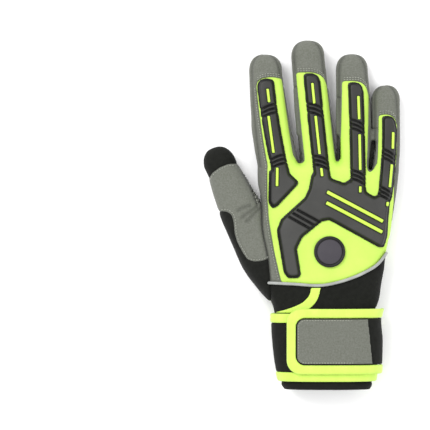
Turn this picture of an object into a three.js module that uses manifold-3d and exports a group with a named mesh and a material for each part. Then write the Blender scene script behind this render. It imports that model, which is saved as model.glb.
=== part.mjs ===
// Right-hand anti-vibration work glove, lying palm down with its back up.
// Millimetres. +Y runs to the finger tips, -X to the thumb, +Z up from the surface it lies on.
// The origin is the middle of the underside's bounding box.

import * as THREE from "three";
import { mergeVertices } from "three/addons/utils/BufferGeometryUtils.js";
import Module from "manifold-3d";

const wasm = await Module();
wasm.setup();

// Cloth and clearances
const clothWall = 2.0;
const seamGap = 0.3;
const palmSeamHeight = 7.5;
const fourchetteHeight = 13;

// Hand part, from the seam of the cuff to the roots of the fingers
const palmLength = 82.6;
const palmWidth = 102;
const palmDepth = 33;
const palmCentreX = 17;
const cuffSeamY = -51;
const undersideRoll = 1.6;

// Cuff, from the same seam down to the hem
const cuffLength = 76.5;
const cuffWidth = 73.5;
const cuffDepth = 33;
const hemThickness = 1.0;
const palmClothEnd = 28;

// Thumb, from the heel of the hand to its tip
const thumbLength = 123;
const thumbWidth = 30;
const thumbDepth = 29;
const thumbHeading = 23;
const thumbHeelInset = 5.8;
const thumbHeelDown = 12.3;

// Fingers. Each root is at a share of the palm's half width and length. The lean is how far the
// middle and the tip of its centre line stand to the side of the root. Leans and widths are shares
// of the palm's width, so that the fingers stay side by side.
const fingerDepth = 21;
const fingerTipReach = 13;
const fingerRoots = {
  index: { across: -0.673, along: 0.947 },
  middle: { across: -0.1, along: 0.947 },
  ring: { across: 0.4, along: 0.947 },
  little: { across: 0.792, along: 0.841 },
};
const fingerLengths = { index: 90.0, middle: 100.3, ring: 90.3, little: 76.0 };
const fingerLeans = {
  index: { middle: -0.0735, tip: -0.1098 },
  middle: { middle: -0.052, tip: -0.0971 },
  ring: { middle: -0.0069, tip: -0.0265 },
  little: { middle: 0.0265, tip: 0.0167 },
};
const fingerWidths = {
  index: { root: 0.308, middle: 0.2686, tip: 0.2314 },
  middle: { root: 0.2755, middle: 0.2578, tip: 0.2412 },
  ring: { root: 0.2608, middle: 0.2569, tip: 0.2235 },
  little: { root: 0.2108, middle: 0.2078, tip: 0.202 },
};

// Moulded guard on the back, with its coloured stripes and the round damper
const guardThickness = 3.0;
const stripeWidth = 1.9;
const knuckleStripeWidth = 2.5;
const stripeProud = 0.3;
const stripeDepth = 1.2;
const ribGrooveWidth = 1.1;
const ribGroovePitch = 3.2;
const ribGrooveDepth = 0.9;
const ribMargin = 1.0;
const damperRadius = 11.4;
const damperDiscRadius = 9.4;
const damperThickness = 2.0;

// Piping, bindings, strap and tab
const pipingWidth = 2.1;
const pipingThickness = 1.6;
const bindingWidth = 7.0;
const bindingThickness = 3.0;
const ventBindingThickness = 1.2;
const strapTop = 21.5;
const strapWidth = 49.6;
const strapThickness = 2.4;
const tabTop = 18;
const tabWidth = 47.5;
const tabThickness = 2.4;
const tabPatchThickness = 0.9;
const tabBindingProud = 0.6;
const tabInset = 6.8;
const tabPatchInset = 4.2;
const tabPatchSlant = 3.5;

// Quilting sunk into the palm cloth
const quiltWidth = 1.8;
const quiltDepth = 0.9;

const roundSides = 16;
const damperSides = 20;
const facetTolerance = 0.07;
const skyHeight = 90;
const underground = -10;

const mix = (a, b, t) => a + (b - a) * t;
const point = (x, y) => new THREE.Vector2(x, y);

// A smooth value through three stations, at the start, the middle and the end of a finger.
const throughThree = (a, b, c, t) =>
  a * (1 - t) * (1 - 2 * t) + b * 4 * t * (1 - t) + c * t * (2 * t - 1);

// A place on the back of the hand, as shares of its half width and of its length from the cuff seam.
const onBack = ({ across, along }) =>
  point(palmCentreX + (across * palmWidth) / 2, cuffSeamY + along * palmLength);

// Solids, cuts and joins

function solid(geometry) {
  const bare = geometry.clone();
  bare.deleteAttribute("normal");
  bare.deleteAttribute("uv");
  const merged = mergeVertices(bare, 1e-4);
  const mesh = new wasm.Mesh({
    numProp: 3,
    vertProperties: Float32Array.from(merged.attributes.position.array),
    triVerts: Uint32Array.from(merged.index.array),
  });
  return new wasm.Manifold(mesh);
}

const joined = (bodies) => bodies.reduce((all, body) => all.add(body));

// The main body of a cut: slivers left where a seam grazes a curved wall are trimmed away.
// Facets that are flat to within the tolerance are merged with their neighbours.
const mainBody = (body) =>
  body
    .simplify(facetTolerance)
    .decompose()
    .reduce((most, next) => (next.volume() > most.volume() ? next : most));

// A plate standing on an outline, from one height to another.
function plate(outline, low = underground, high = skyHeight) {
  const shape = new THREE.Shape(outline);
  const geometry = new THREE.ExtrudeGeometry(shape, { depth: high - low, bevelEnabled: false });
  geometry.translate(0, 0, low);
  return solid(geometry);
}

function block(x0, x1, y0, y1, z0, z1) {
  const geometry = new THREE.BoxGeometry(x1 - x0, y1 - y0, z1 - z0);
  geometry.translate((x0 + x1) / 2, (y0 + y1) / 2, (z0 + z1) / 2);
  return solid(geometry);
}

// The outline of a band of one width along a line of points.
function bandOutline(line, width) {
  const left = [];
  const right = [];
  line.forEach((here, i) => {
    const before = line[Math.max(i - 1, 0)];
    const after = line[Math.min(i + 1, line.length - 1)];
    const side = point(before.y - after.y, after.x - before.x).setLength(width / 2);
    left.push(here.clone().add(side));
    right.unshift(here.clone().sub(side));
  });
  return [...left, ...right];
}

// The same outline moved outwards by a clearance; inwards when it is negative.
function easedOutline(outline, clearance) {
  const turn = THREE.ShapeUtils.isClockWise(outline) ? -1 : 1;
  return outline.map((here, i) => {
    const before = outline[(i + outline.length - 1) % outline.length];
    const after = outline[(i + 1) % outline.length];
    const into = here.clone().sub(before).normalize();
    const out = after.clone().sub(here).normalize();
    const bisector = point(into.y + out.y, -(into.x + out.x)).normalize();
    const reach = clearance / Math.max(bisector.dot(point(into.y, -into.x)), 0.4);
    return here.clone().addScaledVector(bisector, turn * reach);
  });
}

// The form of the glove: rounded tubes through rows of sections

// A section stands across its heading at x, y. It is a rounded slab whose underside is flat on
// its floor, grown or shrunk all round by a wall or a layer.
function tubeThrough(sections, grow) {
  const rows = sections.length - 1;
  const tube = new THREE.CylinderGeometry(1, 1, rows, roundSides, rows);
  const place = tube.attributes.position;
  for (let i = 0; i < place.count; i += 1) {
    const row = Math.round(place.getY(i) + rows / 2);
    const { x, y, heading = 0, width, top, floor = 0 } = sections[row];
    const end = row === 0 ? -grow : row === rows ? grow : 0;
    const aside = softened(place.getX(i)) * Math.max(width / 2 + grow, 1);
    const low = floor - undersideRoll;
    const middle = (top + low) / 2;
    const rise = middle + softened(place.getZ(i)) * ((top - low) / 2 + grow);
    const turned = THREE.MathUtils.degToRad(heading);
    place.setXYZ(
      i,
      x + aside * Math.cos(turned) - end * Math.sin(turned),
      y + aside * Math.sin(turned) + end * Math.cos(turned),
      Math.max(rise, floor - grow),
    );
  }
  return solid(tube);
}

// Slightly squarer than a circle, as a stuffed glove is.
const softened = (share) => Math.sign(share) * Math.abs(share) ** 0.84;

// Rings that round off the end of a tube, as shares of a quarter circle.
const domeRings = [0.4, 0.66, 0.86, 0.97];

function domed(last, reach) {
  const turned = THREE.MathUtils.degToRad(last.heading ?? 0);
  return domeRings.map((share) => {
    const narrowing = Math.sqrt(1 - share ** 2);
    return {
      ...last,
      x: last.x - Math.sin(turned) * reach * share,
      y: last.y + Math.cos(turned) * reach * share,
      width: last.width * narrowing,
      top: mix(last.floor ?? 0, last.top, 0.42 + 0.58 * narrowing),
    };
  });
}

const fingers = Object.fromEntries(
  Object.entries(fingerLengths).map(([name, length]) => [
    name,
    { length, root: onBack(fingerRoots[name]), lean: fingerLeans[name], width: fingerWidths[name] },
  ]),
);
const fingerX = ({ root, lean }, t) => root.x + palmWidth * throughThree(0, lean.middle, lean.tip, t);
const fingerWidth = ({ width }, t) => palmWidth * throughThree(width.root, width.middle, width.tip, t);
const fingerPoint = (finger, t, aside = 0) =>
  point(fingerX(finger, t) + aside, finger.root.y + t * finger.length);

// Rows along a finger: shares of its width and depth. It starts sunk in the palm, as a knuckle does.
const fingerRows = [
  { along: -0.42, spread: 0.5, height: 0.8, lifted: 0.4 },
  { along: 0.0, spread: 0.96, height: 1.2, lifted: 0 },
  { along: 0.3, spread: 1.0, height: 1.1, lifted: 0 },
  { along: 0.62, spread: 1.0, height: 1.0, lifted: 0 },
];

function fingerTube(finger, grow) {
  const domeStart = 1 - fingerTipReach / finger.length;
  const last = { along: domeStart, spread: 1, height: 0.9, lifted: 0 };
  const rows = [...fingerRows, last].map(({ along, spread, height, lifted }) => ({
    x: fingerX(finger, Math.max(along, 0)),
    y: finger.root.y + along * finger.length,
    width: spread * fingerWidth(finger, Math.max(along, 0)),
    top: height * fingerDepth,
    floor: lifted * fingerDepth,
  }));
  return tubeThrough([...rows, ...domed(rows.at(-1), fingerTipReach)], grow);
}

// Webs between the fingers: places on the back, shares of the palm's width and the fingers' depth.
const fingerWebs = [
  { across: -0.38, along: 1.08, width: 0.1, height: 0.8 },
  { across: 0.16, along: 1.083, width: 0.09, height: 0.8 },
];
const webLength = 0.2;

function fingerWeb({ across, along, width, height }, grow) {
  const section = { width: width * palmWidth, top: height * fingerDepth };
  const foot = onBack({ across, along: along - webLength });
  const crotch = onBack({ across, along });
  return tubeThrough([{ ...section, x: foot.x, y: foot.y }, { ...section, x: crotch.x, y: crotch.y }], grow);
}

// Rows of the palm from the cuff seam to the finger roots: shares of its half width and depth.
const palmRows = [
  { along: 0.0, aside: -0.026, width: 0.79, height: 1.0 },
  { along: 0.22, aside: -0.016, width: 0.85, height: 0.98 },
  { along: 0.48, aside: -0.012, width: 0.925, height: 0.93 },
  { along: 0.75, aside: -0.004, width: 0.965, height: 0.86 },
  { along: 1.0, aside: 0.008, width: 0.985, height: 0.77 },
];

// Rows of the cuff from the hem up to the seam: shares of its length, width and depth.
// The strap pulls its upper part a little to the thumb's side.
const strapFloor = bindingThickness + seamGap;
const cuffRows = [
  { down: 1.0, aside: 0, width: 0.87, height: 1.0, raised: 1 },
  { down: 0.86, aside: -0.005, width: 0.93, height: 1.0, raised: 1 },
  { down: 0.55, aside: -0.02, width: 0.99, height: 0.99, raised: 1 },
  { down: 0.27, aside: -0.028, width: 1.0, height: 0.99, raised: 1 },
  { down: 0.2, aside: -0.015, width: 1.03, height: 0.98, raised: 0 },
];

const wristSections = cuffRows.map(({ down, aside, width, height, raised }) => ({
  x: palmCentreX + aside * cuffWidth,
  y: cuffSeamY - down * cuffLength,
  width: width * cuffWidth,
  top: height * cuffDepth,
  floor: raised * strapFloor,
}));

const palmSections = palmRows.map(({ along, aside, width, height }) => ({
  x: palmCentreX + (aside * palmWidth) / 2,
  y: cuffSeamY + along * palmLength,
  width: width * palmWidth,
  top: height * palmDepth,
}));

// Rows of the thumb: shares of its length, of its bow to the outside, width and depth.
const thumbBow = 5;
const cuffLeftX = palmCentreX - cuffWidth / 2;
const thumbHeelX = cuffLeftX + thumbHeelInset;
const thumbHeelY = cuffSeamY - thumbHeelDown;
const thumbRows = [
  { along: -0.06, bow: -0.3, width: 0.45, height: 0.9 },
  { along: 0.09, bow: 0.25, width: 0.82, height: 1.03 },
  { along: 0.23, bow: 0.6, width: 0.97, height: 1.05 },
  { along: 0.42, bow: 0.95, width: 1.01, height: 1.0 },
  { along: 0.58, bow: 0.8, width: 1.01, height: 0.9 },
  { along: 0.74, bow: 0.88, width: 0.92, height: 0.8 },
  { along: 0.87, bow: 0.88, width: 0.78, height: 0.7 },
];

function thumbPoint(along, aside) {
  const turned = THREE.MathUtils.degToRad(thumbHeading);
  return point(
    thumbHeelX - along * thumbLength * Math.sin(turned) - aside * Math.cos(turned),
    thumbHeelY + along * thumbLength * Math.cos(turned) - aside * Math.sin(turned),
  );
}

const thumbSections = thumbRows.map(({ along, bow, width, height }) => {
  const { x, y } = thumbPoint(along, bow * thumbBow);
  return { x, y, heading: thumbHeading, width: width * thumbWidth, top: height * thumbDepth };
});
const thumbTipReach = 0.13 * thumbLength;

// The hand without the hem end: its wrist end is left long so that a hollow runs out of it.
function gloveForm(grow) {
  const reach = grow < 0 ? -2 * grow : 0;
  const wrist = [{ ...wristSections[0], y: wristSections[0].y - reach }, ...wristSections.slice(1)];
  return joined([
    tubeThrough([...wrist, ...palmSections], grow),
    tubeThrough([...thumbSections, ...domed(thumbSections.at(-1), thumbTipReach)], grow),
    ...Object.values(fingers).map((finger) => fingerTube(finger, grow)),
    ...fingerWebs.map((web) => fingerWeb(web, grow)),
  ]);
}

const wristTube = (grow) => tubeThrough([...wristSections, palmSections[0]], grow);

const outside = gloveForm(0);
const inside = gloveForm(-clothWall);
const shell = outside.subtract(inside);

// Outlines on the back of the hand

// A band along a finger's back between two shares of its length. Its width, and how far it is set
// off from the finger's centre line, are shares of the palm's width. Its far end falls away to the
// finger's sides by two more shares of the length.
function fingerBand(finger, { from, to, aside, width, fallLeft, fallRight }) {
  const side = (turn, end) => [0, 0.25, 0.5, 0.75, 1].map((share) =>
    fingerPoint(finger, mix(from, end, share), (aside + (turn * width) / 2) * palmWidth));
  const tip = [-0.5, 0, 0.5].map((turn) =>
    fingerPoint(finger, turn < 0 ? mix(to, to - fallLeft, 0.25) : mix(to, to - fallRight, turn * 0.6),
      (aside + turn * 0.5 * width) * palmWidth));
  return [...side(-1, to - fallLeft), ...tip, ...side(1, to - fallRight).reverse()];
}

// The neon cloth on each finger, and the moulded strip that runs up it.
const clothBands = {
  index: { from: -0.05, to: 0.8, aside: 0.021, width: 0.205, fallLeft: 0.06, fallRight: 0.02 },
  middle: { from: -0.05, to: 0.745, aside: 0.011, width: 0.216, fallLeft: 0.0, fallRight: 0.095 },
  ring: { from: -0.05, to: 0.745, aside: 0.016, width: 0.196, fallLeft: 0.0, fallRight: 0.11 },
  little: { from: -0.05, to: 0.71, aside: 0.011, width: 0.132, fallLeft: 0.01, fallRight: 0.12 },
};
const guardBands = {
  index: { from: -0.1, to: 0.785, aside: 0.003, width: 0.126, fallLeft: 0.07, fallRight: 0.02 },
  middle: { from: -0.1, to: 0.735, aside: 0.014, width: 0.117, fallLeft: 0.01, fallRight: 0.05 },
  ring: { from: -0.12, to: 0.74, aside: 0.019, width: 0.109, fallLeft: 0.01, fallRight: 0.06 },
  little: { from: -0.12, to: 0.67, aside: 0.018, width: 0.1, fallLeft: 0.01, fallRight: 0.08 },
};

// The neon cloth on the back of the hand, from the index side down to the curved cuff seam and up
// again. It ends in a round notch at the foot of each gap between two fingers.
const clothBack = [
  { across: -0.86, along: 1.02 },
  { across: -0.855, along: 0.75 },
  { across: -0.835, along: 0.56 },
  { across: -0.76, along: 0.28 },
  { across: -0.66, along: 0.01 },
  { across: -0.06, along: -0.01 },
  { across: 0.23, along: 0.03 },
  { across: 0.52, along: 0.1 },
  { across: 0.71, along: 0.17 },
  { across: 0.84, along: 0.26 },
  { across: 0.91, along: 0.44 },
  { across: 0.95, along: 0.71 },
  { across: 0.955, along: 0.95 },
  { across: 0.71, along: 1.06 },
  { across: 0.672, along: 1.02 },
  { across: 0.63, along: 0.985 },
  { across: 0.6, along: 0.98 },
  { across: 0.57, along: 1.0 },
  { across: 0.56, along: 1.06 },
  { across: 0.25, along: 1.15 },
  { across: 0.2, along: 1.08 },
  { across: 0.17, along: 1.055 },
  { across: 0.145, along: 1.055 },
  { across: 0.115, along: 1.08 },
  { across: 0.1, along: 1.15 },
  { across: -0.27, along: 1.12 },
  { across: -0.32, along: 1.075 },
  { across: -0.36, along: 1.052 },
  { across: -0.4, along: 1.052 },
  { across: -0.44, along: 1.075 },
  { across: -0.46, along: 1.12 },
];

// The cuff seam carries on to both edges of the hand.
const cuffSeamLine = [
  { across: -0.84, along: 0.01 },
  { across: -0.5, along: 0.0 },
  { across: -0.06, along: -0.01 },
  { across: 0.23, along: 0.03 },
  { across: 0.52, along: 0.1 },
  { across: 0.71, along: 0.17 },
  { across: 0.85, along: 0.27 },
];

// The moulded plate over the knuckles, with its arm down the index side of the hand.
const guardPlate = [
  { across: -0.27, along: 0.84 },
  { across: -0.23, along: 0.97 },
  { across: 0.0, along: 0.98 },
  { across: 0.06, along: 0.93 },
  { across: 0.24, along: 0.89 },
  { across: 0.31, along: 0.92 },
  { across: 0.52, along: 0.88 },
  { across: 0.56, along: 0.81 },
  { across: 0.67, along: 0.77 },
  { across: 0.76, along: 0.8 },
  { across: 0.93, along: 0.88 },
  { across: 0.88, along: 0.62 },
  { across: 0.86, along: 0.42 },
  { across: 0.81, along: 0.32 },
  { across: 0.73, along: 0.32 },
  { across: 0.14, along: 0.52 },
  { across: 0.02, along: 0.56 },
  { across: -0.08, along: 0.55 },
  { across: -0.36, along: 0.41 },
  { across: -0.44, along: 0.31 },
  { across: -0.38, along: 0.08 },
  { across: -0.42, along: 0.05 },
  { across: -0.57, along: 0.05 },
  { across: -0.63, along: 0.1 },
  { across: -0.73, along: 0.47 },
  { across: -0.67, along: 0.57 },
  { across: -0.33, along: 0.76 },
];

// The foot of the index finger's own moulded strip.
const guardIndexFoot = [
  { across: -0.84, along: 1.0 },
  { across: -0.85, along: 0.72 },
  { across: -0.79, along: 0.66 },
  { across: -0.72, along: 0.68 },
  { across: -0.43, along: 0.87 },
  { across: -0.41, along: 0.9 },
  { across: -0.53, along: 0.97 },
  { across: -0.59, along: 1.02 },
];

// Coloured stripes up each finger's strip: from and to are shares of the finger's length, and the
// distance to the side of its centre line is a share of the palm's width.
const fingerStripes = {
  index: [
    { from: 0.6, to: 0.71 },
    { from: 0.19, to: 0.49 },
    { from: -0.08, to: 0.07 },
  ],
  middle: [
    { from: 0.53, to: 0.68 },
    { from: 0.16, to: 0.44 },
    { from: 0.0, to: 0.06 },
  ],
  ring: [
    { from: 0.46, to: 0.65 },
    { from: 0.05, to: 0.34 },
    { from: -0.13, to: -0.08 },
  ],
  little: [
    { from: 0.38, to: 0.54 },
    { from: 0.01, to: 0.23 },
    { from: -0.17, to: -0.13 },
  ],
};
const stripeAside = { index: 0.009, middle: 0.011, ring: 0.032, little: 0.045 };

// Two long stripes across the knuckles, from the middle finger down to the edge of the hand.
const knuckleStripes = [
  [
    { across: -0.01, along: 0.81 },
    { across: 0.79, along: 0.55 },
  ],
  [
    { across: -0.02, along: 0.715 },
    { across: 0.78, along: 0.455 },
  ],
];

// Groups of three grooves across the strips, at shares of the finger's length, with their slope.
const ribGrooves = {
  index: [{ at: 0.53, slope: 0.38 }, { at: 0.12, slope: 0.38 }],
  middle: [{ at: 0.48, slope: -0.33 }, { at: 0.1, slope: -0.33 }],
  ring: [{ at: 0.4, slope: -0.45 }, { at: -0.01, slope: -0.45 }],
  little: [{ at: 0.3, slope: -0.6 }, { at: -0.06, slope: -0.6 }],
};

// Three grooves down the arm, beside the knuckles.
const armGrooves = [
  [{ across: -0.43, along: 0.65 }, { across: -0.13, along: 0.55 }],
  [{ across: -0.49, along: 0.62 }, { across: -0.19, along: 0.515 }],
  [{ across: -0.55, along: 0.59 }, { across: -0.25, along: 0.485 }],
];

const damperCentre = onBack({ across: 0.025, along: 0.283 });

// Quilting on the palm, in the same shares as the back.
const quiltLines = [
  [
    { across: -0.9, along: 0.97 },
    { across: -0.35, along: 0.92 },
    { across: -0.06, along: 0.88 },
    { across: 0.66, along: 0.89 },
  ],
  [
    { across: -0.95, along: 0.73 },
    { across: -0.57, along: 0.66 },
    { across: -0.13, along: 0.73 },
    { across: 0.24, along: 0.71 },
    { across: 0.68, along: 0.64 },
  ],
  [{ across: -0.26, along: 0.63 }, { across: 0.1, along: 0.36 }, { across: 0.52, along: 0.48 }],
  [{ across: -0.08, along: 0.31 }, { across: -0.47, along: 0.11 }],
  [{ across: -0.47, along: 0.49 }, { across: -0.53, along: 0.15 }],
  [{ across: 0.52, along: 0.24 }, { across: 0.73, along: 0.1 }],
];

// Shares of the finger's length where the finger pads are quilted, and of its width on each side.
const fingerPadSeams = [0.1, 0.42, 0.5, 0.72];
const padSeamReach = 0.36;

// Cloth regions

// On the fingers the neon cloth stops above their sides.
function clothShape(clearance) {
  const onFingers = Object.keys(fingers).map((name) => {
    const outline = easedOutline(fingerBand(fingers[name], clothBands[name]), clearance);
    return plate(outline, fourchetteHeight - clearance);
  });
  return joined([plate(easedOutline(clothBack.map(onBack), clearance)), ...onFingers]);
}

const guardMainShape = joined([
  plate(guardPlate.map(onBack)),
  ...["middle", "ring", "little"].map((name) => plate(fingerBand(fingers[name], guardBands[name]))),
]);
const guardIndexShape = joined([
  plate(guardIndexFoot.map(onBack)),
  plate(fingerBand(fingers.index, guardBands.index)),
]);

// Everything between two heights, or between two places along the glove.
const farSide = 200;
const slab = (low, high) => block(-farSide, farSide, -farSide, farSide, low, high);
const stretch = (from, to) => block(-farSide, farSide, from, to, underground, skyHeight);
const aboveSeam = slab(palmSeamHeight + seamGap / 2, skyHeight);
const belowSeam = slab(underground, palmSeamHeight - seamGap / 2);
const belowFourchettes = slab(underground, fourchetteHeight);

// Everything that belongs to the thumb lies outside this line, from its crotch to the strap.
const crotchLine = [
  { across: -1.22, along: 1.35 },
  { across: -1.12, along: 1.03 },
  { across: -0.955, along: 0.75 },
  { across: -0.93, along: 0.48 },
  { across: -0.85, along: 0.22 },
  { across: -0.82, along: 0.0 },
  { across: -0.79, along: -0.28 },
].map(onBack);
const thumbSide = (shift) => plate([
  point(-farSide, farSide),
  point(crotchLine[0].x + shift, farSide),
  ...crotchLine.map(({ x, y }) => point(x + shift, y)),
  point(-farSide, crotchLine.at(-1).y),
]);

const handBack = shell.intersect(aboveSeam);
const handFront = shell.intersect(belowSeam);

// The cuff ends where its seam line runs, and the palm cloth goes on below it under the strap.
const cuffLine = cuffSeamLine.map(onBack);
const cuffSide = (shift) => plate([
  point(-farSide, cuffLine[0].y + shift),
  ...cuffLine.map(({ x, y }) => point(x, y + shift)),
  point(farSide, cuffLine.at(-1).y + shift),
  point(farSide, -farSide),
  point(-farSide, -farSide),
]);
const palmClothEndY = cuffSeamY - palmClothEnd;
const strapTopY = cuffSeamY - strapTop;
const strapBottomY = strapTopY - strapWidth;
const belowPalmCloth = stretch(-farSide, palmClothEndY);
const belowPalmClothEased = stretch(-farSide, palmClothEndY + seamGap);

// Materials

const finish = (color, roughness) => new THREE.MeshStandardMaterial({ color, roughness, metalness: 0 });
const blackNeoprene = () => finish("#242522", 0.85);
const greySuede = () => finish("#85877f", 0.9);
const neonSpandex = () => finish("#e3ff6e", 0.75);
const neonBinding = () => finish("#e8ff66", 0.7);
const gripPalmCloth = () => finish("#2b2b2b", 0.8);
const guardRubber = () => finish("#454543", 0.5);
const neonRubber = () => finish("#dcff55", 0.5);
const damperRubber = () => finish("#605c62", 0.55);
const darkRubber = () => finish("#2c2d2c", 0.5);
const greyPiping = () => finish("#b0b2b0", 0.6);
const strapWebbing = () => finish("#3a3b38", 0.9);

const glove = new THREE.Group();

function addPiece(name, body, material) {
  const mesh = mainBody(body).getMesh();
  const geometry = new THREE.BufferGeometry();
  geometry.setAttribute("position", new THREE.BufferAttribute(mesh.vertProperties, 3));
  geometry.setIndex(new THREE.BufferAttribute(mesh.triVerts, 1));
  geometry.computeVertexNormals();
  const piece = new THREE.Mesh(geometry, material);
  piece.name = name;
  glove.add(piece);
}

// Palm, thumb front and cuff

function palmQuilting() {
  const fingerLines = Object.values(fingers).flatMap((finger) =>
    fingerPadSeams.map((t) => {
      const half = fingerWidth(finger, t) * padSeamReach;
      return [fingerPoint(finger, t, -half), fingerPoint(finger, t, half)];
    }));
  const lines = [...quiltLines.map((line) => line.map(onBack)), ...fingerLines];
  return joined(lines.map((line) => plate(bandOutline(line, quiltWidth), -1, quiltDepth)));
}

function addPalm() {
  const palmSide = handFront.subtract(thumbSide(seamGap / 2)).subtract(belowPalmClothEased);
  addPiece("palm_panel", palmSide.subtract(palmQuilting()), gripPalmCloth());
  const thumbFront = handFront.intersect(thumbSide(-seamGap / 2)).subtract(belowPalmClothEased);
  addPiece("thumb_front", thumbFront, gripPalmCloth());
}

// The grey patch on the back of the thumb, which reaches over its outer edge below the tip: shares
// of the thumb's length, and of its half width from a line moved out by a share of its bow.
const patchBow = 0.6;
const thumbPatch = [
  { along: 0.84, aside: 1.5 },
  { along: 0.84, aside: 0.93 },
  { along: 0.865, aside: 0.62 },
  { along: 0.878, aside: 0.2 },
  { along: 0.877, aside: -0.25 },
  { along: 0.862, aside: -0.61 },
  { along: 0.82, aside: -1.4 },
  { along: 0.3, aside: -1.6 },
  { along: 0.268, aside: -0.3 },
  { along: 0.271, aside: 0.11 },
  { along: 0.286, aside: 0.46 },
  { along: 0.314, aside: 0.7 },
  { along: 0.368, aside: 0.78 },
  { along: 0.431, aside: 0.82 },
  { along: 0.489, aside: 0.76 },
  { along: 0.544, aside: 0.61 },
  { along: 0.589, aside: 0.55 },
  { along: 0.618, aside: 0.68 },
  { along: 0.64, aside: 1.05 },
  { along: 0.64, aside: 1.5 },
];
const thumbPatchOutline = thumbPatch.map(({ along, aside }) =>
  thumbPoint(along, (aside * thumbWidth) / 2 + thumbBow * patchBow));

function addThumbBackAndCuff() {
  const thumbBack = handBack.intersect(thumbSide(-seamGap / 2));
  const patch = plate(easedOutline(thumbPatchOutline, -seamGap / 2));
  const patchEased = plate(easedOutline(thumbPatchOutline, seamGap / 2));
  addPiece("thumb_back_patch", thumbBack.intersect(patch), greySuede());
  const tipFrom = thumbPoint(thumbPatch[0].along - 0.1, 0);
  const aboveTip = block(-farSide, tipFrom.x + thumbWidth, tipFrom.y, farSide, underground, skyHeight);
  const rest = thumbBack.subtract(patchEased).subtract(belowPalmClothEased);
  addPiece("thumb_tip", rest.intersect(aboveTip), blackNeoprene());
  addPiece("thumb_outer", rest.subtract(aboveTip), blackNeoprene());

  const upperCuff = handBack.subtract(thumbSide(seamGap / 2)).intersect(cuffSide(-seamGap / 2));
  const lowerCuff = shell.intersect(belowPalmCloth);
  const hemEnd = stretch(-farSide, strapBottomY);
  addPiece("cuff", upperCuff.add(lowerCuff).subtract(hemEnd), blackNeoprene());
  const hemRing = wristTube(hemThickness)
    .subtract(inside)
    .intersect(stretch(-farSide, strapBottomY - seamGap));
  addPiece("cuff_hem", hemRing, blackNeoprene());
}

// Back of the hand and the fingers' sides

// The part of a finger beyond its neon cloth, which the grey tip covers.
function tipRegion(name, clearance) {
  const { to, fallLeft, fallRight } = clothBands[name];
  const from = fingerPoint(fingers[name], to - Math.max(fallLeft, fallRight, 0.03));
  const half = fingerWidth(fingers[name], 0);
  return block(from.x - half, from.x + half, from.y - clearance, farSide, underground, skyHeight)
    .intersect(fingerTube(fingers[name], seamGap / 2));
}

// The strip of plan between the centre lines of two fingers, or beyond the first or last one.
function betweenFingers(left, right) {
  const centreLine = (name) => [-0.5, 0, 0.3, 0.6, 1.3].map((t) => fingerPoint(fingers[name], t));
  const leftLine = left ? centreLine(left) : [point(-farSide, -farSide), point(-farSide, farSide)];
  const rightLine = right
    ? centreLine(right).reverse()
    : [point(farSide, farSide), point(farSide, -farSide)];
  return plate([...leftLine, ...rightLine]);
}

function addBack() {
  const handOnly = handBack.subtract(thumbSide(seamGap / 2)).subtract(cuffSide(seamGap / 2));
  addPiece("stretch_panel", handOnly.intersect(clothShape(0)), neonSpandex());

  const grey = handOnly.subtract(clothShape(seamGap));
  const sides = grey.subtract(joined(Object.keys(fingers).map((name) => tipRegion(name, seamGap))));
  const tip = (name) => grey.intersect(tipRegion(name, 0));
  const sideOf = (left, right) => sides.intersect(betweenFingers(left, right));
  const indexEdge = betweenFingers(null, "index").add(tipRegion("index", 0));
  const littleEdge = betweenFingers("little", null).add(tipRegion("little", 0));
  addPiece("index_side_panel", grey.intersect(indexEdge), greySuede());
  addPiece("middle_tip_cap", tip("middle"), greySuede());
  addPiece("ring_tip_cap", tip("ring"), greySuede());
  const littleSide = grey.intersect(littleEdge).subtract(tipRegion("ring", seamGap));
  addPiece("little_side_panel", littleSide, greySuede());
  addPiece("fourchette_index_middle", sideOf("index", "middle"), greySuede());
  addPiece("fourchette_middle_ring", sideOf("middle", "ring"), greySuede());
  addPiece("fourchette_ring_little", sideOf("ring", "little"), greySuede());
}

// Moulded guards, their stripes and the damper

const guardTop = seamGap + guardThickness;
const overCloth = gloveForm(guardTop).subtract(gloveForm(seamGap)).subtract(belowFourchettes);

function fingerStripe(name, { from, to }) {
  const ends = [from, to].map((t) => fingerPoint(fingers[name], t, stripeAside[name] * palmWidth));
  return bandOutline(ends, stripeWidth);
}

const stripeOutlines = [
  ...Object.keys(fingers).flatMap((name) =>
    fingerStripes[name].map((stripe, i) => ({
      name: `stripe_${name}_${i + 1}`,
      outline: fingerStripe(name, stripe),
    }))),
  ...knuckleStripes.map((line, i) => ({
    name: `stripe_knuckle_${i + 1}`,
    outline: bandOutline(line.map(onBack), knuckleStripeWidth),
  })),
];

function ribOutlines() {
  const onFingers = Object.keys(fingers).flatMap((name) =>
    ribGrooves[name].flatMap(({ at, slope }) => {
      const strip = guardBands[name];
      const centre = fingerPoint(fingers[name], at, strip.aside * palmWidth);
      const half = (strip.width * palmWidth) / 2 - ribMargin;
      return [-1, 0, 1].map((step) => {
        const y = centre.y + step * ribGroovePitch;
        const ends = [-half, half].map((aside) => point(centre.x + aside, y + slope * aside));
        return bandOutline(ends, ribGrooveWidth);
      });
    }));
  const onArm = armGrooves.map((line) => bandOutline(line.map(onBack), ribGrooveWidth));
  return [...onFingers, ...onArm];
}

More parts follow.
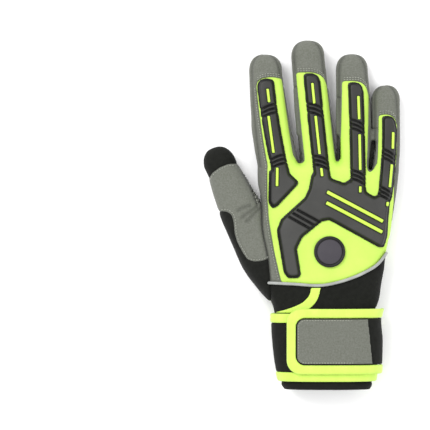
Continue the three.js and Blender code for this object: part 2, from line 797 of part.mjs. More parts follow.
function addGuards() {
  const ribs = joined(ribOutlines().map((outline) => plate(outline)))
    .subtract(gloveForm(guardTop - ribGrooveDepth));
  const channels = joined(stripeOutlines.map(({ outline }) => plate(easedOutline(outline, seamGap))))
    .subtract(gloveForm(guardTop - stripeDepth - seamGap));
  const moulded = overCloth.subtract(ribs).subtract(channels);
  addPiece("guard_index", moulded.intersect(guardIndexShape), guardRubber());
  addPiece("guard_main", moulded.intersect(guardMainShape), guardRubber());

  const stripeLayer = gloveForm(guardTop + stripeProud).subtract(gloveForm(guardTop - stripeDepth));
  stripeOutlines.forEach(({ name, outline }) => {
    addPiece(name, stripeLayer.intersect(plate(outline, fourchetteHeight)), neonRubber());
  });
}

function roundPlate(radius) {
  const geometry = new THREE.CylinderGeometry(radius, radius, skyHeight, damperSides);
  geometry.rotateX(Math.PI / 2);
  geometry.translate(damperCentre.x, damperCentre.y, skyHeight / 2 + fourchetteHeight);
  return solid(geometry);
}

function addDamper() {
  const layer = gloveForm(seamGap + damperThickness).subtract(gloveForm(seamGap));
  const ring = roundPlate(damperRadius).subtract(roundPlate(damperDiscRadius + seamGap));
  addPiece("damper_ring", layer.intersect(ring), darkRubber());
  addPiece("damper_disc", layer.intersect(roundPlate(damperDiscRadius)), damperRubber());
}

// Piping, strap and tab

// The curved binding runs down the cuff from its seam and along the strap's upper edge.
const ventLine = [
  { across: -0.17, down: 0.04 },
  { across: -0.21, down: 0.13 },
  { across: -0.3, down: 0.2 },
  { across: -0.45, down: 0.255 },
  { across: -0.56, down: 0.281 },
  { across: -0.68, down: 0.305 },
  { across: -0.8, down: 0.325 },
].map(({ across, down }) =>
  point(palmCentreX + (across * palmWidth) / 2, cuffSeamY - down * cuffLength));

function addCuffTrim() {
  const piping = gloveForm(seamGap + pipingThickness)
    .subtract(gloveForm(seamGap))
    .intersect(plate(bandOutline(cuffLine, pipingWidth)))
    .subtract(belowFourchettes);
  addPiece("cuff_piping", piping, greyPiping());
  const pipingRoom = plate(bandOutline(cuffLine, pipingWidth + 2 * seamGap));
  const vent = gloveForm(seamGap + ventBindingThickness)
    .subtract(gloveForm(seamGap))
    .intersect(plate(bandOutline(ventLine, bindingWidth)))
    .subtract(pipingRoom)
    .subtract(belowFourchettes)
    .subtract(stretch(-farSide, strapTopY + seamGap));
  addPiece("vent_binding", vent, neonBinding());
}

function addStrap() {
  const ring = (thickness, from, to) =>
    wristTube(thickness).subtract(wristTube(seamGap)).intersect(stretch(from, to));
  const upper = strapTopY - bindingWidth;
  const lower = strapBottomY + bindingWidth;
  addPiece("strap", ring(strapThickness, lower + seamGap, upper - seamGap), strapWebbing());
  addPiece("strap_binding_upper", ring(bindingThickness, upper, strapTopY), neonBinding());
  addPiece("strap_binding_lower", ring(bindingThickness, strapBottomY, lower), neonBinding());
}

// The tab's free end, from its left edge round to the little finger's side of the wrist.
const tabLeftX = cuffLeftX + tabInset;
const tabCornerRadius = 10;
const tabPatchCornerRadius = 6;
const tabUnder = bindingThickness + seamGap;
const tabPatchRightX = cuffLeftX + cuffWidth - tabPatchInset;

function tabOutline(inset, right, slant) {
  const top = cuffSeamY - tabTop - inset;
  const bottom = cuffSeamY - tabTop - tabWidth + inset;
  const left = tabLeftX + inset;
  const round = mix(tabCornerRadius, tabPatchCornerRadius, inset / bindingWidth);
  const corner = (x, y, from) => [0, 0.25, 0.5, 0.75, 1].map((share) => {
    const turned = from + (share * Math.PI) / 2;
    return point(x + round * Math.cos(turned), y + round * Math.sin(turned));
  });
  return [
    ...corner(left + round, top - round, Math.PI / 2),
    ...corner(left + round, bottom + round, Math.PI),
    point(right, bottom),
    point(right - slant, top),
  ];
}

function addTab() {
  const tabLayer = (low, high) =>
    wristTube(high).subtract(wristTube(low)).subtract(belowFourchettes);
  const whole = plate(tabOutline(0, farSide, 0));
  const middle = plate(tabOutline(bindingWidth, farSide, 0));
  const middleRoom = plate(tabOutline(bindingWidth - seamGap, farSide, 0));
  const tabTopLayer = tabUnder + tabThickness;
  addPiece("tab", tabLayer(tabUnder, tabTopLayer).intersect(middle), strapWebbing());
  const edge = whole.subtract(middleRoom);
  addPiece("tab_binding", tabLayer(tabUnder, tabTopLayer + tabBindingProud).intersect(edge), neonBinding());
  const patch = plate(tabOutline(bindingWidth + seamGap, tabPatchRightX, tabPatchSlant));
  const patchLayer = tabLayer(tabTopLayer + seamGap, tabTopLayer + seamGap + tabPatchThickness);
  addPiece("tab_patch", patchLayer.intersect(patch), greySuede());
}

addPalm();
addThumbBackAndCuff();
addBack();
addGuards();
addDamper();
addCuffTrim();
addStrap();
addTab();

// The origin goes to the middle of the underside.
const extent = new THREE.Box3().setFromObject(glove);
const centre = extent.getCenter(new THREE.Vector3());
glove.position.set(-centre.x, -centre.y, -extent.min.z);

export default glove;
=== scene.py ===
"""Right-hand anti-vibration work glove, lying palm down on a pale floor, seen from above."""

import math

import bpy
import numpy as np
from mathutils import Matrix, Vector


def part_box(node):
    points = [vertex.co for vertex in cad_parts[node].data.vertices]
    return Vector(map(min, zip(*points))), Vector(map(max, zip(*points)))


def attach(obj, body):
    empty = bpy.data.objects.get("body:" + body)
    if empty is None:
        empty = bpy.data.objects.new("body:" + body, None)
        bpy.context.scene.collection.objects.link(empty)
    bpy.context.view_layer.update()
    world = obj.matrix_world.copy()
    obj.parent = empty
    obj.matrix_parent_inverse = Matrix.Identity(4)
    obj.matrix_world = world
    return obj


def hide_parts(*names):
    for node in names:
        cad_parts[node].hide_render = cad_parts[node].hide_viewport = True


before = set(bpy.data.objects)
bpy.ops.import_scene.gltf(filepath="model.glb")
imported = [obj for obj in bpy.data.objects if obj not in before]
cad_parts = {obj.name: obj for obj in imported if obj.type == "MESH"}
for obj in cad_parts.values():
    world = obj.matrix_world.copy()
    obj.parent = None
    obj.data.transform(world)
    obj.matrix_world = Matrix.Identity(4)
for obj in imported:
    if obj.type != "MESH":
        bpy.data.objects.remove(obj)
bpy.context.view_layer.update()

MM = 0.001
REAL = np.float32

# The glove's own sizes, in millimetres, in the frame of its pattern
PALM_LENGTH, PALM_WIDTH, PALM_DEPTH = 82.6, 102.0, 33.0
PALM_CENTRE_X, CUFF_SEAM_Y = 17.0, -51.0
CUFF_LENGTH, CUFF_WIDTH, CUFF_DEPTH = 76.5, 73.5, 33.0
CLOTH_WALL, SEAM_GAP, PALM_SEAM_HEIGHT, SIDE_HEIGHT = 2.0, 0.3, 7.5, 13.0
UNDERSIDE_ROLL = 1.6
ROUNDNESS = 2.4
CLOTH_CELL, FINE_CELL = 0.8, 0.5
FAR = 400.0

HALF_PALM = PALM_WIDTH / 2


def on_back(rows):
    """Places on the back of the hand from shares of its half width and of its length."""
    return np.array([(PALM_CENTRE_X + a * HALF_PALM, CUFF_SEAM_Y + b * PALM_LENGTH) for a, b in rows])


# The damper's node ties the pattern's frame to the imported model's.
DAMPER_CENTRE = on_back([(0.025, 0.283)])[0]
damper_low, damper_high = (np.array(corner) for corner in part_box("damper_disc"))
SHIFT = np.append((damper_low + damper_high)[:2] / 2 / MM - DAMPER_CENTRE, 0.0)


# Smooth lines and joins

def through(places, values, at):
    """A smooth curve through values at their places, level beyond both ends."""
    places, values = np.asarray(places, float), np.asarray(values, float)
    fine = np.linspace(places[0], places[-1], 400)
    slopes = np.gradient(values, places)
    left = np.clip(np.searchsorted(places, fine) - 1, 0, len(places) - 2)
    span = places[left + 1] - places[left]
    t = (fine - places[left]) / span
    curve = (
        values[left] * (2 * t**3 - 3 * t**2 + 1)
        + slopes[left] * span * (t**3 - 2 * t**2 + t)
        + values[left + 1] * (3 * t**2 - 2 * t**3)
        + slopes[left + 1] * span * (t**3 - t**2)
    )
    return np.interp(at, fine, curve).astype(REAL)


def curved(points, steps=8):
    """More points on a smooth line through the given ones."""
    points = np.asarray(points, float)
    run = np.append(0, np.cumsum(np.linalg.norm(np.diff(points, axis=0), axis=1)))
    at = np.linspace(0, run[-1], steps * (len(points) - 1) + 1)
    return np.stack([through(run, points[:, 0], at), through(run, points[:, 1], at)], axis=1)


def soft_min(a, b, blend):
    """The lesser of two fields, with a rounded valley where they meet."""
    share = np.clip(0.5 + 0.5 * (b - a) / blend, 0, 1)
    return b + (a - b) * share - blend * share * (1 - share)


def soft_max(a, b, blend):
    return -soft_min(-a, -b, blend)


def ridge(distance, width):
    """1 on a line, falling smoothly to nothing over a few widths from it."""
    return np.exp(-(distance / width) ** 2)


# Distances in plan

def outline_distance(points, x, y):
    """Distance to a closed outline, negative inside it."""
    nearest = np.full(np.broadcast(x, y).shape, FAR**2)
    inside = np.zeros(nearest.shape, bool)
    for (ax, ay), (bx, by) in zip(points, np.roll(points, -1, axis=0)):
        ex, ey = bx - ax, by - ay
        wx, wy = x - ax, y - ay
        t = np.clip((wx * ex + wy * ey) / max(ex * ex + ey * ey, 1e-9), 0, 1)
        nearest = np.minimum(nearest, (wx - ex * t) ** 2 + (wy - ey * t) ** 2)
        above, below, side = y >= ay, y < by, ex * wy > ey * wx
        inside ^= (above & below & side) | (~above & ~below & ~side)
    distance = np.sqrt(nearest)
    return np.where(inside, -distance, distance).astype(REAL)


def line_distance(points, x, y):
    """Distance to an open line of points."""
    nearest = np.full(np.broadcast(x, y).shape, FAR**2)
    for (ax, ay), (bx, by) in zip(points[:-1], points[1:]):
        ex, ey = bx - ax, by - ay
        wx, wy = x - ax, y - ay
        t = np.clip((wx * ex + wy * ey) / max(ex * ex + ey * ey, 1e-9), 0, 1)
        nearest = np.minimum(nearest, (wx - ex * t) ** 2 + (wy - ey * t) ** 2)
    return np.sqrt(nearest).astype(REAL)


def blurred(values, reach):
    """A field in plan with its corners rounded over a reach of cells."""
    steps = np.arange(-int(3 * reach), int(3 * reach) + 1)
    weights = np.exp(-0.5 * (steps / reach) ** 2)
    weights /= weights.sum()
    for axis in (0, 1):
        edge = [(0, 0), (0, 0)]
        edge[axis] = (len(steps) // 2,) * 2
        padded = np.pad(values, edge, mode="edge")
        size = values.shape[axis]
        values = sum(w * np.take(padded, np.arange(size) + i, axis=axis) for i, w in enumerate(weights))
    return values.astype(REAL)


def least(fields):
    made = fields[0]
    for field in fields[1:]:
        made = np.minimum(made, field)
    return made


# The form of the glove

def tube(across, along, z, rows, end_reach, start_reach=6.0):
    """A rounded tube through rows of (place, centre, width, top, floor), negative inside."""
    places, centres, widths, tops, floors = np.array(rows, float).T
    centre = through(places, centres, along)
    half = through(places, widths, along) / 2
    top = through(places, tops, along)
    low = through(places, floors, along) - UNDERSIDE_ROLL
    middle, rise = (top + low) / 2, (top - low) / 2
    u = np.abs(across - centre) / half
    v = np.abs(z - middle) / rise
    w = np.maximum((along - places[-1]) / end_reach, (places[0] - along) / start_reach)
    w = np.maximum(w, 0).astype(REAL)
    n = ROUNDNESS
    size = (u**n + v**n + w**n + 1e-6) ** (1 / n)
    slope = size ** (1 - n) * np.sqrt(
        (u ** (n - 1) / half) ** 2 + (v ** (n - 1) / rise) ** 2 + (w ** (n - 1) / end_reach) ** 2 + 1e-9
    )
    return ((size - 1) / slope).astype(REAL)


# Rows of the wrist, from the hem up: share of its length, aside, width, height, raised off the surface
CUFF_ROWS = [(1.0, 0, 0.87, 1.0, 1), (0.86, -0.005, 0.93, 1.0, 1), (0.55, -0.02, 0.99, 0.99, 1),
             (0.27, -0.028, 1.0, 0.99, 1), (0.2, -0.015, 1.03, 0.98, 0)]
# Rows of the palm, from the wrist up: share of its length, aside, width, height
PALM_ROWS = [(0.0, -0.026, 0.79, 1.0), (0.22, -0.016, 0.85, 0.98), (0.48, -0.012, 0.925, 0.93),
             (0.75, -0.004, 0.965, 0.86), (0.98, 0.008, 0.985, 0.77)]
STRAP_FLOOR = 3.3
wrist_rows = [
    (CUFF_SEAM_Y - down * CUFF_LENGTH, PALM_CENTRE_X + aside * CUFF_WIDTH, width * CUFF_WIDTH,
     height * CUFF_DEPTH, raised * STRAP_FLOOR)
    for down, aside, width, height, raised in CUFF_ROWS
]
palm_rows = [
    (CUFF_SEAM_Y + along * PALM_LENGTH, PALM_CENTRE_X + aside * HALF_PALM, width * PALM_WIDTH,
     height * PALM_DEPTH, 0)
    for along, aside, width, height in PALM_ROWS
]

FINGER_DEPTH, FINGER_TIP_REACH = 21.0, 13.0
# Root across and along, length, middle and tip lean, root, middle and tip width
FINGERS = {
    "index": dict(across=-0.673, along=0.947, length=90.0, lean=(0, -7.5, -11.2), width=(31.4, 27.4, 23.6)),
    "middle": dict(across=-0.1, along=0.947, length=100.3, lean=(0, -5.3, -9.9), width=(28.1, 26.3, 24.6)),
    "ring": dict(across=0.4, along=0.947, length=90.3, lean=(0, -0.7, -2.7), width=(26.6, 26.2, 22.8)),
    "little": dict(across=0.792, along=0.841, length=76.0, lean=(0, 2.7, 1.7), width=(21.5, 21.2, 20.6)),
}
FINGER_ROWS = [(-0.42, 0.5, 0.8, 0.4), (0.0, 0.96, 1.2, 0), (0.3, 1.0, 1.1, 0), (0.62, 1.0, 1.0, 0)]


def bow(stations, t):
    """A smooth value through three stations, at the start, the middle and the end of a finger."""
    a, b, c = stations
    return a * (1 - t) * (1 - 2 * t) + b * 4 * t * (1 - t) + c * t * (2 * t - 1)


def finger_point(name, t, aside=0.0):
    """A place on a finger; aside is a distance, or a pair: at its root, and more per length."""
    finger = FINGERS[name]
    if isinstance(aside, tuple):
        aside = aside[0] + aside[1] * t
    root = on_back([(finger["across"], finger["along"])])[0]
    return np.array((root[0] + bow(finger["lean"], t) + aside, root[1] + t * finger["length"]))


def finger_rows(name):
    finger = FINGERS[name]
    rows = FINGER_ROWS + [(1 - FINGER_TIP_REACH / finger["length"], 1.0, 0.9, 0)]
    made = []
    for along, spread, height, lifted in rows:
        x = finger_point(name, max(along, 0))[0]
        y = finger_point(name, along)[1]
        width = spread * bow(finger["width"], max(along, 0))
        made.append((y, x, width, height * FINGER_DEPTH, lifted * FINGER_DEPTH))
    return made


THUMB_LENGTH, THUMB_WIDTH, THUMB_DEPTH, THUMB_BOW = 123.0, 30.0, 29.0, 5.0
THUMB_HEADING = math.radians(23)
THUMB_HEEL = np.array((PALM_CENTRE_X - CUFF_WIDTH / 2 + 5.8, CUFF_SEAM_Y - 12.3))
THUMB_ROWS = [
    (-0.06, -0.3, 0.45, 0.9), (0.09, 0.25, 0.82, 1.03), (0.23, 0.6, 0.97, 1.05), (0.42, 0.95, 1.01, 1.0),
    (0.58, 0.8, 1.01, 0.9), (0.74, 0.88, 0.92, 0.8), (0.87, 0.88, 0.78, 0.7),
]
thumb_rows = [
    (along * THUMB_LENGTH, -aside * THUMB_BOW, width * THUMB_WIDTH, height * THUMB_DEPTH, 0)
    for along, aside, width, height in THUMB_ROWS
]


def thumb_frame(x, y):
    """Where a point lies across and along the thumb."""
    dx, dy = x - THUMB_HEEL[0], y - THUMB_HEEL[1]
    along = dy * math.cos(THUMB_HEADING) - dx * math.sin(THUMB_HEADING)
    across = dx * math.cos(THUMB_HEADING) + dy * math.sin(THUMB_HEADING)
    return across.astype(REAL), along.astype(REAL)


def thumb_point(along, aside):
    length = along * THUMB_LENGTH
    return (
        THUMB_HEEL[0] - length * math.sin(THUMB_HEADING) - aside * math.cos(THUMB_HEADING),
        THUMB_HEEL[1] + length * math.cos(THUMB_HEADING) - aside * math.sin(THUMB_HEADING),
    )


def wrist_field(x, y, z):
    rows = wrist_rows + palm_rows[:1]
    return tube(x, y, z, rows, 30.0, 30.0)


def hand_field(x, y, z):
    """The glove's outside, negative inside: palm and wrist, fingers and thumb run into each other."""
    field = tube(x, y, z, wrist_rows + palm_rows, 7.0, 60.0)
    fingers = None
    for name in FINGERS:
        one = tube(x, y, z, finger_rows(name), FINGER_TIP_REACH)
        fingers = one if fingers is None else soft_min(fingers, one, 1.0)
    field = soft_min(field, fingers, 4.0)
    across, along = thumb_frame(x, y)
    thumb = tube(across, along, z, thumb_rows, 0.13 * THUMB_LENGTH, 9.0)
    return soft_min(field, thumb, 5.0)


# A mesh round the zero level of a field

class Block:
    """Points on a regular grid between two corners of the pattern's frame."""

    def __init__(self, low, high, cell):
        self.low, self.cell = np.array(low, float), cell
        x, y, z = (np.arange(a, b + cell, cell, dtype=REAL) for a, b in zip(low, high))
        self.x, self.y, self.z = x[:, None, None], y[None, :, None], z[None, None, :]
        self.plan = (x[:, None], y[None, :])


def sampled(values, block, points):
    """A field in plan read at points of the pattern's frame, between its cells."""
    at = np.clip((points[:, :2] - block.low[:2]) / block.cell, 0, np.array(values.shape) - 1.01)
    x, y = at.astype(int).T
    u, v = (at - at.astype(int)).T
    low = values[x, y] * (1 - u) + values[x + 1, y] * u
    high = values[x, y + 1] * (1 - u) + values[x + 1, y + 1] * u
    return low * (1 - v) + high * v


def skin(values):
    """Corner points and quads round the zero level, one point in each cell that it crosses."""
    shape = np.array(values.shape) - 1
    total = np.zeros((int(np.prod(shape)), 3))
    count = np.zeros(len(total))
    crossings = []
    for axis in range(3):
        first = values.take(range(values.shape[axis] - 1), axis)
        second = values.take(range(1, values.shape[axis]), axis)
        index = np.argwhere((first < 0) != (second < 0))
        a, b = first[tuple(index.T)], second[tuple(index.T)]
        place = index.astype(float)
        place[:, axis] += a / (a - b)
        others = [(axis + 1) % 3, (axis + 2) % 3]
        corners = []
        for step in ((0, 0), (-1, 0), (-1, -1), (0, -1)):
            cell = index.copy()
            cell[:, others] += step
            good = np.all((cell >= 0) & (cell < shape), axis=1)
            flat = np.where(good, np.ravel_multi_index(np.clip(cell, 0, shape - 1).T, shape), -1)
            corners.append(flat)
            for k in range(3):
                total[:, k] += np.bincount(flat[good], place[good, k], len(total))
            count += np.bincount(flat[good], minlength=len(total))
        crossings.append((np.stack(corners, axis=1), a < 0))
    used = np.flatnonzero(count)
    number = np.full(len(total), -1)
    number[used] = np.arange(len(used))
    quads = []
    for corners, outward in crossings:
        whole = np.all(corners >= 0, axis=1)
        faces = number[corners[whole]]
        turned = outward[whole]
        quads.append(np.where(turned[:, None], faces, faces[:, ::-1]))
    return total[used] / count[used, None], np.concatenate(quads)


def make_mesh(name, points, quads, material):
    """A smooth-shaded object from points in the pattern's millimetres and four-cornered faces."""
    mesh = bpy.data.meshes.new(name)
    mesh.vertices.add(len(points))
    mesh.vertices.foreach_set("co", ((points + SHIFT) * MM).astype(REAL).ravel())
    sides = quads.shape[1]
    mesh.loops.add(quads.size)
    mesh.loops.foreach_set("vertex_index", quads.astype(np.int32).ravel())
    mesh.polygons.add(len(quads))
    mesh.polygons.foreach_set("loop_start", np.arange(0, quads.size, sides, dtype=np.int32))
    mesh.update(calc_edges=True)
    mesh.validate()
    mesh.shade_smooth()
    mesh.materials.append(material)
    made = bpy.data.objects.new(name, mesh)
    bpy.context.scene.collection.objects.link(made)
    return made


def biggest_part(points, quads):
    """Only the largest connected surface, without crumbs that a thin corner leaves."""
    label = np.arange(len(points))
    while True:
        low = label[quads].min(axis=1)
        new = label.copy()
        for k in range(4):
            np.minimum.at(new, quads[:, k], low)
        new = new[new]
        if np.array_equal(new, label):
            break
        label = new
    kinds, sizes = np.unique(label, return_counts=True)
    keep = label == kinds[sizes.argmax()]
    number = np.cumsum(keep) - 1
    return points[keep], number[quads[keep[quads[:, 0]]]]


def dress(piece, slot, *nodes, fill=None):
    """The piece rides on the glove's one body, in place of its nodes."""
    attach(piece, "root")
    if nodes:
        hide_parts(*nodes)
    return piece


def make_layer(name, block, values, material, slot, nodes=None):
    """A piece of a block's field. It is the one surface of its own node, or stands for several nodes."""
    points, quads = skin(values) if nodes else biggest_part(*skin(values))
    piece = make_mesh(name, points * block.cell + block.low, quads, material)
    return dress(piece, slot, *(nodes or [name]))


# Materials. Colours are sRGB hex values.

def linear(hex_colour):
    channels = [int(hex_colour[i:i + 2], 16) / 255 for i in (1, 3, 5)]
    return [c / 12.92 if c <= 0.04045 else ((c + 0.055) / 1.055) ** 2.4 for c in channels] + [1.0]


def add_node(tree, kind, settings=None, links=None):
    """A node with its settings, by property or by socket, and what its sockets are fed from."""
    made = tree.nodes.new(kind)
    for key, value in (settings or {}).items():
        if isinstance(key, str) and hasattr(made, key):
            setattr(made, key, value)
        else:
            made.inputs[key].default_value = value
    for key, source in (links or {}).items():
        tree.links.new(source, made.inputs[key])
    return made


def new_finish(name, roughness, **shader):
    """A material with one principled shader; the rest of its nodes are added by its maker."""
    material = bpy.data.materials.new(name)
    material.use_nodes = True
    tree = material.node_tree
    tree.nodes.clear()
    surface = add_node(tree, "ShaderNodeBsdfPrincipled", {"Roughness": roughness, **shader})
    add_node(tree, "ShaderNodeOutputMaterial", links={"Surface": surface.outputs[0]})
    place = add_node(tree, "ShaderNodeTexCoord").outputs["Object"]
    return material, tree, surface, place


def per_mm(millimetres):
    """A texture scale that repeats about once in so many millimetres."""
    return 1 / (millimetres * MM)


def mottled(tree, place, dark, light, size, low=0.3, high=0.7):
    """Colour that wanders between two shades over patches of one size."""
    cloud = add_node(tree, "ShaderNodeTexNoise", {"Scale": per_mm(size), "Detail": 4.0}, {"Vector": place})
    ramp = add_node(tree, "ShaderNodeValToRGB", links={"Fac": cloud.outputs["Fac"]})
    ends = ramp.color_ramp.elements
    ends[0].position, ends[0].color = low, linear(dark)
    ends[1].position, ends[1].color = high, linear(light)
    return ramp.outputs["Color"]


def bumped(tree, surface, height, depth):
    """Relief of so many millimetres on the shader."""
    bump = add_node(tree, "ShaderNodeBump", {"Strength": 1.0, "Distance": depth * MM}, {"Height": height})
    tree.links.new(bump.outputs["Normal"], surface.inputs["Normal"])


def wave(tree, place, direction, size):
    """Straight ridges across one axis, so many millimetres apart."""
    # The wave texture makes 20 / (2 pi) ridges to the unit at scale 1.
    scale = 2 * math.pi / 20 * per_mm(size)
    settings = {"bands_direction": direction, "Scale": scale, "Distortion": 0.6, "Detail": 1.0}
    return add_node(tree, "ShaderNodeTexWave", settings, {"Vector": place}).outputs["Fac"]


def math_node(tree, operation, first, second):
    made = add_node(tree, "ShaderNodeMath", {"operation": operation})
    for socket, value in zip(made.inputs, (first, second)):
        if isinstance(value, (int, float)):
            socket.default_value = value
        else:
            tree.links.new(value, socket)
    return made.outputs[0]


def synthetic_suede(name, dark, light, crease_shadow_colour):
    # Polyurethane microfibre, brushed: a short nap that scatters light, so it looks dry and cloudy.
    # Painted shade from the crease attribute darkens it along seams, creases and finger gaps.
    dry = {"Sheen Weight": 0.1, "Specular IOR Level": 0.2}
    material, tree, surface, place = new_finish(name, 0.92, **dry)
    # Painted shade: the crease attribute mixes the colour towards a near-black shadow colour.
    depth = add_node(tree, "ShaderNodeAttribute", {"attribute_name": "crease"})
    blend = add_node(tree, "ShaderNodeMix", {"data_type": "RGBA", 7: linear(crease_shadow_colour)},
                     {0: depth.outputs["Fac"], 6: mottled(tree, place, dark, light, 1.1)})
    tree.links.new(blend.outputs[2], surface.inputs["Base Color"])
    nap = add_node(tree, "ShaderNodeTexNoise", {"Scale": per_mm(0.9), "Detail": 5.0}, {"Vector": place})
    bumped(tree, surface, nap.outputs["Fac"], 0.35)
    return material


def knitted_stretch(name, dark, light):
    # Elastane jersey, knitted and dyed in a fluorescent colour: even, matte, with very fine ribs.
    # The real ribs are 0.4 mm apart and are drawn at 0.9 mm so that they show.
    material, tree, surface, place = new_finish(name, 0.8, **{"Specular IOR Level": 0.25})
    tree.links.new(mottled(tree, place, dark, light, 14.0), surface.inputs["Base Color"])
    ribs = math_node(tree, "MULTIPLY", wave(tree, place, "X", 0.9), wave(tree, place, "Y", 0.9))
    bumped(tree, surface, ribs, 0.12)
    return material


def elastic_tape(name, dark, light):
    # Folded elastic binding, woven with cross ribs: brighter than the knit and slightly shiny.
    material, tree, surface, place = new_finish(name, 0.6, **{"Sheen Weight": 0.15})
    tree.links.new(mottled(tree, place, dark, light, 9.0), surface.inputs["Base Color"])
    bumped(tree, surface, wave(tree, place, "X", 1.1), 0.14)
    return material


def faced_neoprene(name, dark, light):
    # Foamed rubber faced with nylon jersey: nearly black, soft edged, with a dull bloom.
    bloom = {"Sheen Weight": 0.03, "Specular IOR Level": 0.12}
    material, tree, surface, place = new_finish(name, 0.8, **bloom)
    tree.links.new(mottled(tree, place, dark, light, 3.0), surface.inputs["Base Color"])
    grain = add_node(tree, "ShaderNodeTexNoise", {"Scale": per_mm(0.8), "Detail": 3.0}, {"Vector": place})
    bumped(tree, surface, grain.outputs["Fac"], 0.25)
    return material


DOT_PITCH = 2.3


def dotted_palm_cloth(name, cloth, dots):
    # Black polyester with printed grip dots on a diagonal grid: the dots are paler and stand up.
    material, tree, surface, place = new_finish(name, 0.75)
    turned = add_node(tree, "ShaderNodeMapping", {"Rotation": (0, 0, math.radians(45))}, {"Vector": place})
    spaced = add_node(tree, "ShaderNodeSeparateXYZ", links={"Vector": turned.outputs[0]})
    turn = math.pi * per_mm(DOT_PITCH)
    # Up the sides, height takes the place of the way across.
    height = math_node(tree, "MULTIPLY", spaced.outputs["Z"], math.sqrt(0.5))
    ups = []
    for axis in "XY":
        place = math_node(tree, "MULTIPLY", math_node(tree, "ADD", spaced.outputs[axis], height), turn)
        ups.append(math_node(tree, "ABSOLUTE", math_node(tree, "SINE", place, 0), 0))
    height = math_node(tree, "MULTIPLY", ups[0], ups[1])
    ramp = add_node(tree, "ShaderNodeValToRGB", links={"Fac": height})
    ends = ramp.color_ramp.elements
    ends[0].position, ends[0].color = 0.55, linear(cloth)
    ends[1].position, ends[1].color = 0.78, linear(dots)
    tree.links.new(ramp.outputs["Color"], surface.inputs["Base Color"])
    bumped(tree, surface, height, 0.35)
    return material


def moulded_rubber(name, dark, light, roughness=0.48, edge=None):
    # Thermoplastic rubber, injection moulded: satin and smooth.
    # Where given, an edge attribute mixes in a near-black colour: painted shade on rims and in grooves.
    material, tree, surface, place = new_finish(name, roughness, **{"Specular IOR Level": 0.28})
    colour = mottled(tree, place, dark, light, 20.0)
    if edge:
        # Painted shade: the edge attribute darkens the colour towards the edge colour.
        depth = add_node(tree, "ShaderNodeAttribute", {"attribute_name": "edge"})
        blend = add_node(tree, "ShaderNodeMix", {"data_type": "RGBA", 7: linear(edge)})
        tree.links.new(depth.outputs["Fac"], blend.inputs[0])
        tree.links.new(colour, blend.inputs[6])
        colour = blend.outputs[2]
    tree.links.new(colour, surface.inputs["Base Color"])
    grain = add_node(tree, "ShaderNodeTexNoise", {"Scale": per_mm(0.7), "Detail": 2.0}, {"Vector": place})
    bumped(tree, surface, grain.outputs["Fac"], 0.08)
    return material


# The last colour is painted shade for seams, creases and the gaps between fingers.
suede = synthetic_suede("grey_synthetic_suede", "#5c5e55", "#6b6d66", "#141512")
stretch = knitted_stretch("neon_knitted_elastane", "#b4d85a", "#bcdf61")
tape = elastic_tape("neon_elastic_tape", "#b8da50", "#c2e45a")
neoprene = faced_neoprene("black_jersey_neoprene", "#11120f", "#181916")
palm_cloth = dotted_palm_cloth("black_dotted_polyester", "#1d1d1d", "#a6a6a2")
# Its edge colour is painted shade at the guard's rims, rib grooves and stripe borders.
rubber = moulded_rubber("charcoal_moulded_rubber", "#30302e", "#3a3a38", edge="#060606")
neon_rubber = moulded_rubber("neon_moulded_rubber", "#b4d648", "#bee054", 0.45)
damper_face = moulded_rubber("grey_moulded_rubber", "#37343a", "#423f44", 0.6)
damper_edge = moulded_rubber("black_moulded_rubber", "#0e0f0e", "#161716", 0.45)
piping_cord = elastic_tape("grey_woven_piping", "#8e908d", "#a2a4a1")
# Spun polyester thread is as matt as neoprene's jersey face, so it is made the same way.
grey_thread = faced_neoprene("grey_polyester_thread", "#8a8c84", "#9c9e94")


# Regions in plan, each negative inside

CLOTH_BACK = [
    (-0.86, 1.02), (-0.855, 0.75), (-0.835, 0.56), (-0.76, 0.28), (-0.66, 0.01), (-0.06, -0.01),
    (0.23, 0.03), (0.52, 0.1), (0.71, 0.17), (0.84, 0.26), (0.91, 0.44), (0.95, 0.71), (0.955, 0.95),
    (0.71, 1.06), (0.672, 1.02), (0.63, 0.985), (0.6, 0.98), (0.57, 1.0), (0.56, 1.06), (0.25, 1.15),
    (0.2, 1.09), (0.17, 1.072), (0.145, 1.072), (0.115, 1.09), (0.1, 1.15), (-0.27, 1.12),
    (-0.32, 1.08), (-0.36, 1.062), (-0.4, 1.062),
    (-0.44, 1.08), (-0.46, 1.12),
]
CUFF_SEAM = [(-0.84, 0.01), (-0.5, 0.0), (-0.06, -0.01), (0.23, 0.03), (0.52, 0.1), (0.71, 0.17),
             (0.85, 0.27)]
CROTCH_LINE = [(-1.22, 1.35), (-1.12, 1.03), (-0.955, 0.75), (-0.93, 0.48), (-0.85, 0.22), (-0.82, 0.0),
               (-0.79, -0.28)]
# Bands on the fingers: from, to, aside, width, and how far the far end falls at its left and right
CLOTH_BANDS = {
    "index": (-0.05, 0.805, 2.4, 19.9, 0.06, 0.02), "middle": (-0.05, 0.758, 1.1, 22.0, 0.0, 0.095),
    "ring": (-0.05, 0.772, (-2.0, 5.2), 19.6, 0.0, 0.12), "little": (-0.05, 0.71, 1.1, 13.5, 0.01, 0.12),
}
GUARD_BANDS = {
    "index": (-0.1, 0.797, (0.9, -2.4), 13.1, 0.07, 0.02), "middle": (-0.1, 0.753, 1.2, 12.4, 0.01, 0.06),
    "ring": (-0.12, 0.765, 1.7, 11.6, 0.01, 0.08), "little": (-0.12, 0.7, 2.2, 11.2, 0.01, 0.13),
}


def band(line, width):
    """The outline of a band of one width along a line."""
    line = np.asarray(line, float)
    run = np.gradient(line, axis=0)
    side = np.stack([-run[:, 1], run[:, 0]], axis=1)
    side *= width / 2 / np.linalg.norm(side, axis=1, keepdims=True)
    return np.concatenate([line + side, (line - side)[::-1]])


